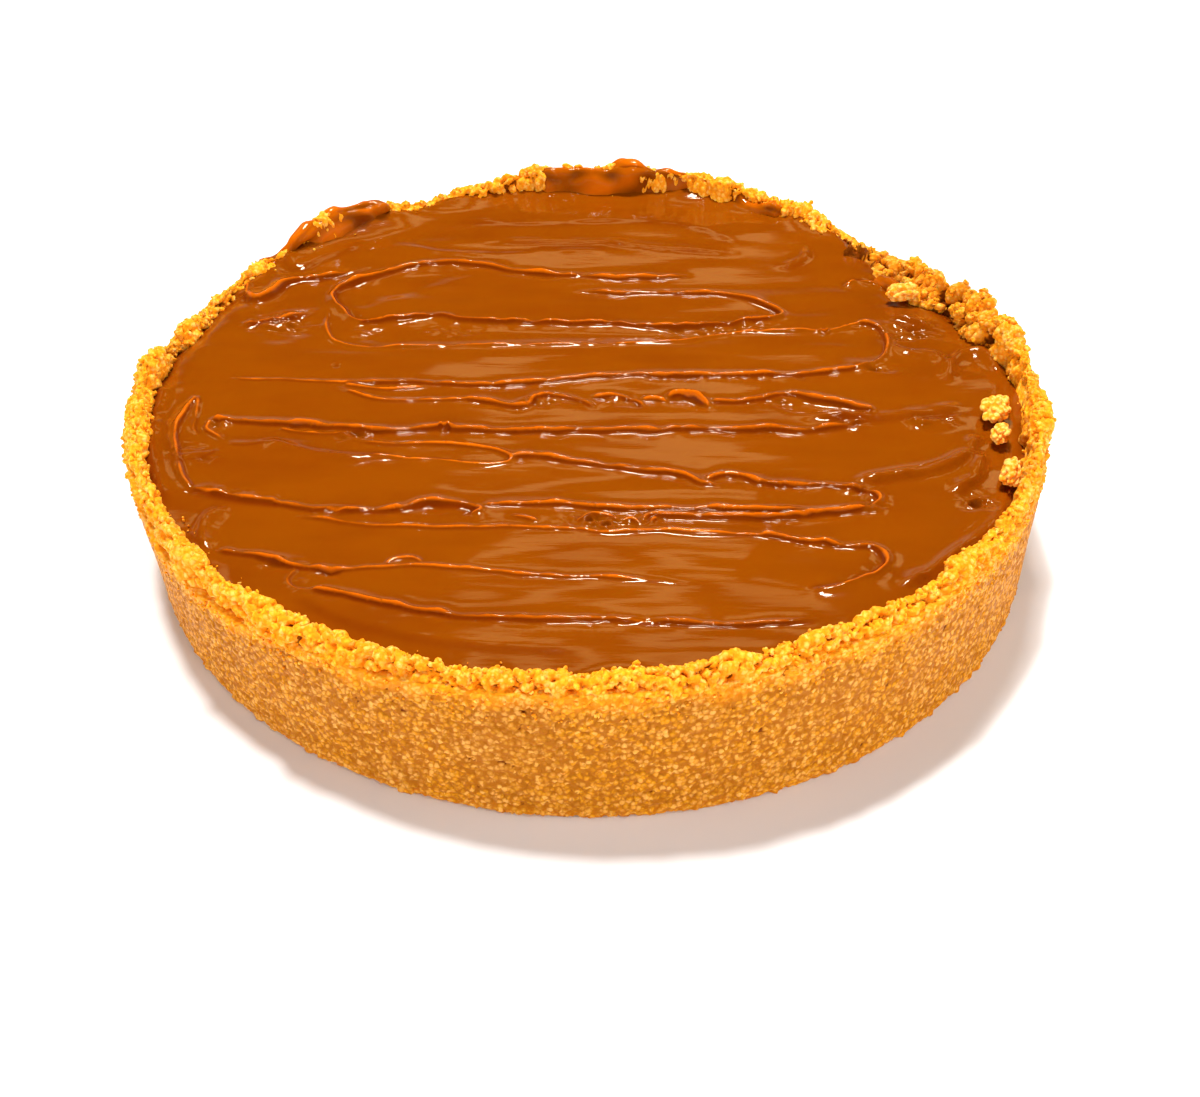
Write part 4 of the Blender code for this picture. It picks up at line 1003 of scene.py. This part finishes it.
def make_smears(material):
    """Thin caramel over parts of the rim; its edges sink between the crumbs."""
    all_points, all_faces, highlights, shades = [], [], [], []
    for number, (first, last, low, high) in enumerate(SMEARS):
        columns = int((last - first) * 4.2)
        rows = int(70 * (high - low))
        angle = np.radians(np.linspace(first, last, columns))
        points, normal = rim_section(angle, np.linspace(low, high, rows))
        across, up = np.linspace(0, 1, columns)[:, None], np.linspace(0, 1, rows)[None, :]
        ragged = soft_noise((columns, rows), 0.45, 2.6, 2.6, 80 + number)
        folds = soft_noise((columns, rows), 0.45, 1.0, 2.4, 180 + number)
        cover = np.minimum(np.minimum(across, 1 - across) / 0.22, (1 - up) / 0.35) \
            + 0.30 * ragged - 0.2
        cover = np.clip(cover, 0, 1)
        cover = cover * cover * (3 - 2 * cover)
        dimples = soft_noise((columns, rows), 0.45, 0.7, 0.8, 280 + number)
        lift = -2.2 + cover * (3.2 + 0.35 * ragged + 0.30 * folds + 0.10 * dimples)
        top = points + normal * lift[..., None]
        bottom = points - normal * 2.4
        start = sum(len(part) for part in all_points)
        body = np.vstack((top.reshape(-1, 3), bottom.reshape(-1, 3)))
        all_points.append(body)
        # painted highlight over the smears, partly the colour of thin caramel, making up for the light
        # their steep faces lack; painted shade in the hollows of their folds
        highlights.append(np.pad(np.clip(0.62 + 0.2 * folds.ravel(), 0, 1), (0, columns * rows)))
        shades.append(np.pad(np.clip(-0.3 * folds.ravel() - 0.2, 0, 1), (0, columns * rows)))
        index = np.arange(columns * rows).reshape(columns, rows)
        below = index + columns * rows
        quads = [np.stack((index[:-1, :-1], index[1:, :-1], index[1:, 1:], index[:-1, 1:]), -1),
                 np.stack((below[:-1, :-1], below[:-1, 1:], below[1:, 1:], below[1:, :-1]), -1)]
        for line, under in ((index[:, 0], below[:, 0]), (index[-1, :], below[-1, :]),
                            (index[::-1, -1], below[::-1, -1]), (index[0, ::-1], below[0, ::-1])):
            quads.append(np.stack((line[:-1], under[:-1], under[1:], line[1:]), -1))
        faces = np.vstack([quad.reshape(-1, 4) for quad in quads]).tolist()
        faces = closed_outward(body, faces)
        all_faces.extend([[corner + start for corner in face] for face in faces])
    flat = np.vstack(all_points) * UNIT + (0, 0, FLOOR_Z)
    return mesh_piece("caramel_smears", flat, all_faces, material,
                      {"crest": np.concatenate(highlights), "shade": np.concatenate(shades)})


# ---- crumbs ---------------------------------------------------------------------------------------
def crumb_shape(detail, seed, balls=6, spread=0.55, ball=(0.38, 0.62)):
    """A popcorn-like crumb about the origin: the outline of a few balls that grew together."""
    rng = np.random.default_rng(seed)
    shape = bmesh.new()
    bmesh.ops.create_icosphere(shape, subdivisions=detail, radius=1.0)
    way = np.array([vertex.co[:] for vertex in shape.verts])
    faces = [[vertex.index for vertex in face.verts] for face in shape.faces]
    shape.free()
    reach = np.full(len(way), spread - 0.2)
    for _ in range(balls):
        centre = rng.normal(size=3)
        centre *= spread * rng.uniform(0.7, 1.0) / np.linalg.norm(centre)
        radius = rng.uniform(*ball)
        toward = way @ centre
        under = radius ** 2 - centre @ centre + toward ** 2
        hit = toward + np.sqrt(np.clip(under, 0, None))
        reach = np.maximum(reach, np.where(under > 0, hit, 0))
    dip = np.clip((reach - reach.min()) / (reach.max() - reach.min()), 0, 1)
    return way * reach[:, None], faces, dip


def turned(rng):
    """A random rotation matrix."""
    q = rng.normal(size=4)
    w, x, y, z = q / np.linalg.norm(q)
    return np.array(((1 - 2 * (y * y + z * z), 2 * (x * y - w * z), 2 * (x * z + w * y)),
                     (2 * (x * y + w * z), 1 - 2 * (x * x + z * z), 2 * (y * z - w * x)),
                     (2 * (x * z - w * y), 2 * (y * z + w * x), 1 - 2 * (x * x + y * y))))


def joined_crumbs(name, places, sizes_mm, seed, material, detail=2, fresh=1.0):
    """One mesh of many crumbs at plan places."""
    rng = np.random.default_rng(seed)
    grainy = {"balls": 26, "spread": 0.75, "ball": (0.26, 0.42)} if detail > 2 else {}
    kinds = [crumb_shape(detail, seed * 100 + kind, **grainy) for kind in range(9)]
    points, faces, depths = [], [], []
    start = 0
    for place, size in zip(places, sizes_mm):
        shape, shape_faces, dip = kinds[rng.integers(len(kinds))]
        squash = rng.uniform(0.75, 1.15, 3)
        body = (shape * squash) @ turned(rng).T * size + place
        points.append(body)
        faces.extend([[corner + start for corner in face] for face in shape_faces])
        # painted shade: darker where the crumb's balls meet
        depths.append(0.35 + 0.65 * dip)
        start += len(body)
    flat = np.vstack(points) * UNIT + (0, 0, FLOOR_Z)
    return mesh_piece(name, flat, faces, material,
                      {"depth": np.concatenate(depths), "fresh": np.full(len(flat), fresh)})


def chunk_places(grain):
    """Places and sizes of the large crumbs broken from the rim."""
    rng = np.random.default_rng(45)
    _, points, normal, relief, _, _ = rim_relief(grain)
    places, sizes_mm = [], []
    for first, last, count, small, large, low, high in CHUNKS:
        column = (rng.uniform(first, last, count) % 360 * RIM_COLUMNS / 360).astype(int)
        row = (rng.uniform(low, high, count) * (RIM_ROWS - 1)).astype(int)
        size = small * (large / small) ** rng.random(count)
        lift = relief[column, row] - 0.15 * size
        places.append(points[column, row] + normal[column, row] * lift[:, None])
        sizes_mm.append(size)
    return np.vstack(places), np.concatenate(sizes_mm)


def loose_crumb_places(count):
    """Small crumbs: most on the wall just below the rim, the others on the caramel's edge."""
    rng = np.random.default_rng(52)
    angle = rng.uniform(-math.pi, math.pi, count)
    below = 7.5 * rng.random(count) ** 1.8
    height = np.minimum(around(PRESSED_HEIGHT, angle) + 0.6, around(CREST_HEIGHT, angle) - 5) - below
    radius = wall_radius(angle, height)
    size = rng.uniform(0.35, 0.8, count) * (1 - 0.05 * below)
    inward = rng.random(count) < 0.16
    height = np.where(inward, LEVEL + around(EDGE_LIFT, angle) + 0.2, height)
    radius = np.where(inward, around(INSIDE_RADIUS, angle) - 0.3 - 3.5 * rng.random(count) ** 2.5,
                      radius - 0.15)
    places = np.column_stack((radius * np.cos(angle), radius * np.sin(angle), height))
    return places, np.where(inward, 0.8 * size, size)


def rim_crumb_places(count, grain):
    """Places and sizes of the small crumbs that stand on the rim."""
    rng = np.random.default_rng(41)
    _, points, normal, relief, _, _ = rim_relief(grain)
    column = rng.integers(0, RIM_COLUMNS, count)
    share = np.clip(rng.normal(0.50, 0.20, count), 0.12, 0.92)
    row = (share * (RIM_ROWS - 1)).astype(int)
    degrees = column * 360 / RIM_COLUMNS
    covered = np.zeros(count, dtype=bool)
    for first, last, _, high in SMEARS:
        covered |= (degrees > first) & (degrees < last) & (share < high) & (rng.random(count) < 0.9)
    size = grain * 0.50 * (2.4 ** rng.normal(0, 0.40, count)).clip(0.5, 2.0)
    lift = relief[column, row] + rng.uniform(-0.3, 0.3, count) * size
    places = points[column, row] + normal[column, row] * lift[:, None]
    return places[~covered], size[~covered]


# ---- operators ---------------------------------------------------------------------------------------
class CHEESECAKE_OT_spread_caramel(bpy.types.Operator):
    """Spread the caramel and its knife marks"""
    bl_idname = "cheesecake.spread_caramel"
    bl_label = "Spread Caramel"

    def execute(self, context):
        sizes, colours = context.scene.cake_sizes, context.scene.cake_colours
        points, faces, colouring = caramel_skin(sizes)
        if not faces:
            raise RuntimeError("the caramel's skin has no faces")
        material = caramel_material(colours)
        piece = mesh_piece("spread_caramel", points, faces, material, colouring)
        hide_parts("caramel_topping")
        for part in (piece, make_smears(material)):
            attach(part, "root")
        return {"FINISHED"}


class CHEESECAKE_OT_press_wall(bpy.types.Operator):
    """Press the sandy outer wall"""
    bl_idname = "cheesecake.press_wall"
    bl_label = "Press Wall"

    def execute(self, context):
        if CRUST_HIGH[2] <= CRUST_LOW[2]:
            raise RuntimeError("the crust has no height to press a wall on")
        colours = context.scene.cake_colours
        material = crumb_material(colours)
        piece = make_wall(context.scene.cake_sizes, material)
        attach(piece, "root")
        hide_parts("crumb_crust")
        return {"FINISHED"}


class CHEESECAKE_OT_break_rim(bpy.types.Operator):
    """Break the rim into crumbs above the pressed wall"""
    bl_idname = "cheesecake.break_rim"
    bl_label = "Break Rim"

    def execute(self, context):
        piece = make_rim(context.scene.cake_sizes, made_before(CRUMB))
        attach(piece, "root")
        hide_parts("crumb_crust")
        return {"FINISHED"}


class CHEESECAKE_OT_rim_crumbs(bpy.types.Operator):
    """Set separate crumbs along the rim"""
    bl_idname = "cheesecake.rim_crumbs"
    bl_label = "Rim Crumbs"

    def execute(self, context):
        sizes = context.scene.cake_sizes
        places, size = rim_crumb_places(sizes.rim_crumbs, sizes.rim_grain * 1000)
        material = made_before(CRUMB)
        places_large, size_large = chunk_places(sizes.rim_grain * 1000)
        places_loose, size_loose = loose_crumb_places(sizes.loose_crumbs)
        for piece in (joined_crumbs("rim_crumbs", places, size, 43, material),
                      joined_crumbs("rim_chunks", places_large, size_large, 47, material, 3, 0.65),
                      joined_crumbs("loose_crumbs", places_loose, size_loose, 53, material, 1)):
            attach(piece, "root")
        return {"FINISHED"}


class CHEESECAKE_OT_fallen_lumps(bpy.types.Operator):
    """Lay the large fallen lumps of crust on the caramel"""
    bl_idname = "cheesecake.fallen_lumps"
    bl_label = "Fallen Lumps"

    def execute(self, context):
        material = made_before(CRUMB)
        for number, (node, turn) in enumerate(LUMP_TURNS.items()):
            low, high = (np.array(corner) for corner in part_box(node))
            shape, faces, dip = crumb_shape(5, 600 + number, balls=90, spread=0.85, ball=(0.16, 0.30))
            angle = math.radians(turn)
            spin = np.array(((math.cos(angle), -math.sin(angle), 0),
                             (math.sin(angle), math.cos(angle), 0), (0, 0, 1)))
            body = (shape * (1.5, 0.8, 0.8)) @ spin.T
            body -= (body.max(axis=0) + body.min(axis=0)) / 2
            body *= (high - low) / (body.max(axis=0) - body.min(axis=0)) * (1.05, 1.05, 1.15)
            points = body + (low + high) / 2 - (0, 0, 0.0004)
            # depth: painted shade where the lump's balls meet
            piece = mesh_piece(f"fallen_lump_{number + 1}", points, faces, material,
                               {"depth": 0.35 + 0.65 * dip, "fresh": np.ones(len(points)),
                                "pale": np.ones(len(points))})
            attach(piece, "root")
            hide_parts(node)
        return {"FINISHED"}


class CHEESECAKE_OT_stage(bpy.types.Operator):
    """Set the table, the studio lights and the camera"""
    bl_idname = "cheesecake.stage"
    bl_label = "Stage"

    def execute(self, context):
        scene = context.scene
        if "pressed_wall" not in scene.objects:
            raise RuntimeError("the wall is missing: press it before setting the stage")
        floor_mesh = bmesh.new()
        bmesh.ops.create_grid(floor_mesh, x_segments=4, y_segments=4, size=4.0)
        mesh = bpy.data.meshes.new("table")
        floor_mesh.to_mesh(mesh)
        floor_mesh.free()
        table = bpy.data.objects.new("table", mesh)
        table.location.z = FLOOR_Z
        mesh.materials.append(floor_material(scene.cake_colours))
        scene.collection.objects.link(table)
        for name, place, size, watts in STRIPS:
            self.light(scene, name, place, CARAMEL_TARGET, size, watts, STRIP_COLOUR)
        for name, place, size, watts in BOXES:
            self.light(scene, name, place, CARAMEL_TARGET, size, watts)
        fills = [self.light(scene, name, place, WALL_TARGET, size, watts)
                 for name, place, size, watts in FILLS]
        for lamp in (*fills, self.sun(scene)):
            lamp.visible_glossy = False
        self.world(scene)
        self.camera(scene)
        scene.view_settings.view_transform = "Standard"
        scene.view_settings.look = "None"
        return {"FINISHED"}

    @staticmethod
    def light(scene, name, place, target, size, watts, tint=(1.0, 1.0, 1.0)):
        data = bpy.data.lights.new(name, "AREA")
        data.shape = "RECTANGLE"
        data.size, data.size_y = size
        data.energy, data.color = watts, tint
        lamp = bpy.data.objects.new(name, data)
        lamp.location = place
        aim = Vector(target) - Vector(place)
        lamp.rotation_euler = aim.to_track_quat("-Z", "Y").to_euler()
        scene.collection.objects.link(lamp)
        return lamp

    @staticmethod
    def sun(scene):
        """Even light on the table, softened like a large far lamp."""
        data = bpy.data.lights.new("key", "SUN")
        data.energy, data.angle = 3.15, math.radians(7)
        lamp = bpy.data.objects.new("key", data)
        lamp.rotation_euler = (math.radians(-16), math.radians(-8), 0)
        scene.collection.objects.link(lamp)
        return lamp

    @staticmethod
    def world(scene):
        world = bpy.data.worlds.new("studio")
        world.use_nodes = True
        tree = world.node_tree
        background = tree.nodes["Background"]
        place = add(tree, "ShaderNodeTexCoord")
        parts = add(tree, "ShaderNodeSeparateXYZ")
        link(tree, place.outputs["Generated"], parts.inputs[0])
        link(tree, ranged(tree, parts.outputs["Z"], 0.15, 0.36, 0.5, 0.008),
             background.inputs["Strength"])
        background.inputs["Color"].default_value = (1.0, 0.87, 0.64, 1.0)
        scene.world = world

    @staticmethod
    def camera(scene):
        """45 mm lens, 0.43 m from the cake's middle, looking 37 degrees down along +Y."""
        data = bpy.data.cameras.new("camera")
        data.lens, data.sensor_width = 45, 36
        data.shift_x, data.shift_y = 0.0068, -0.0434
        data.clip_start = 0.01
        camera = bpy.data.objects.new("camera", data)
        camera.location = (0.0, -0.3439, 0.2610 + FLOOR_Z)
        camera.rotation_euler = (math.radians(90 - 37.2), 0, 0)
        scene.collection.objects.link(camera)
        scene.camera = camera


class CHEESECAKE_PT_panel(bpy.types.Panel):
    """Buttons and settings for the cheesecake"""
    bl_idname = "CHEESECAKE_PT_panel"
    bl_label = "Caramel Cheesecake"
    bl_space_type = "VIEW_3D"
    bl_region_type = "UI"
    bl_category = "Cheesecake"

    def draw(self, context):
        layout = self.layout
        for settings in (context.scene.cake_sizes, context.scene.cake_colours):
            box = layout.box()
            for label in settings.__annotations__:
                box.prop(settings, label)
        for operator in OPERATORS:
            layout.operator(operator.bl_idname)


OPERATORS = (CHEESECAKE_OT_press_wall, CHEESECAKE_OT_break_rim, CHEESECAKE_OT_rim_crumbs,
             CHEESECAKE_OT_spread_caramel, CHEESECAKE_OT_fallen_lumps, CHEESECAKE_OT_stage)
CLASSES = (CakeSizes, CakeColours, *OPERATORS, CHEESECAKE_PT_panel)


def register():
    for item in CLASSES:
        bpy.utils.register_class(item)
    bpy.types.Scene.cake_sizes = PointerProperty(type=CakeSizes)
    bpy.types.Scene.cake_colours = PointerProperty(type=CakeColours)


def unregister():
    del bpy.types.Scene.cake_colours
    del bpy.types.Scene.cake_sizes
    for item in reversed(CLASSES):
        bpy.utils.unregister_class(item)


def main():
    register()
    bpy.ops.cheesecake.press_wall()
    bpy.ops.cheesecake.break_rim()
    bpy.ops.cheesecake.rim_crumbs()
    bpy.ops.cheesecake.spread_caramel()
    bpy.ops.cheesecake.fallen_lumps()
    bpy.ops.cheesecake.stage()


if __name__ == "__main__":
    main()
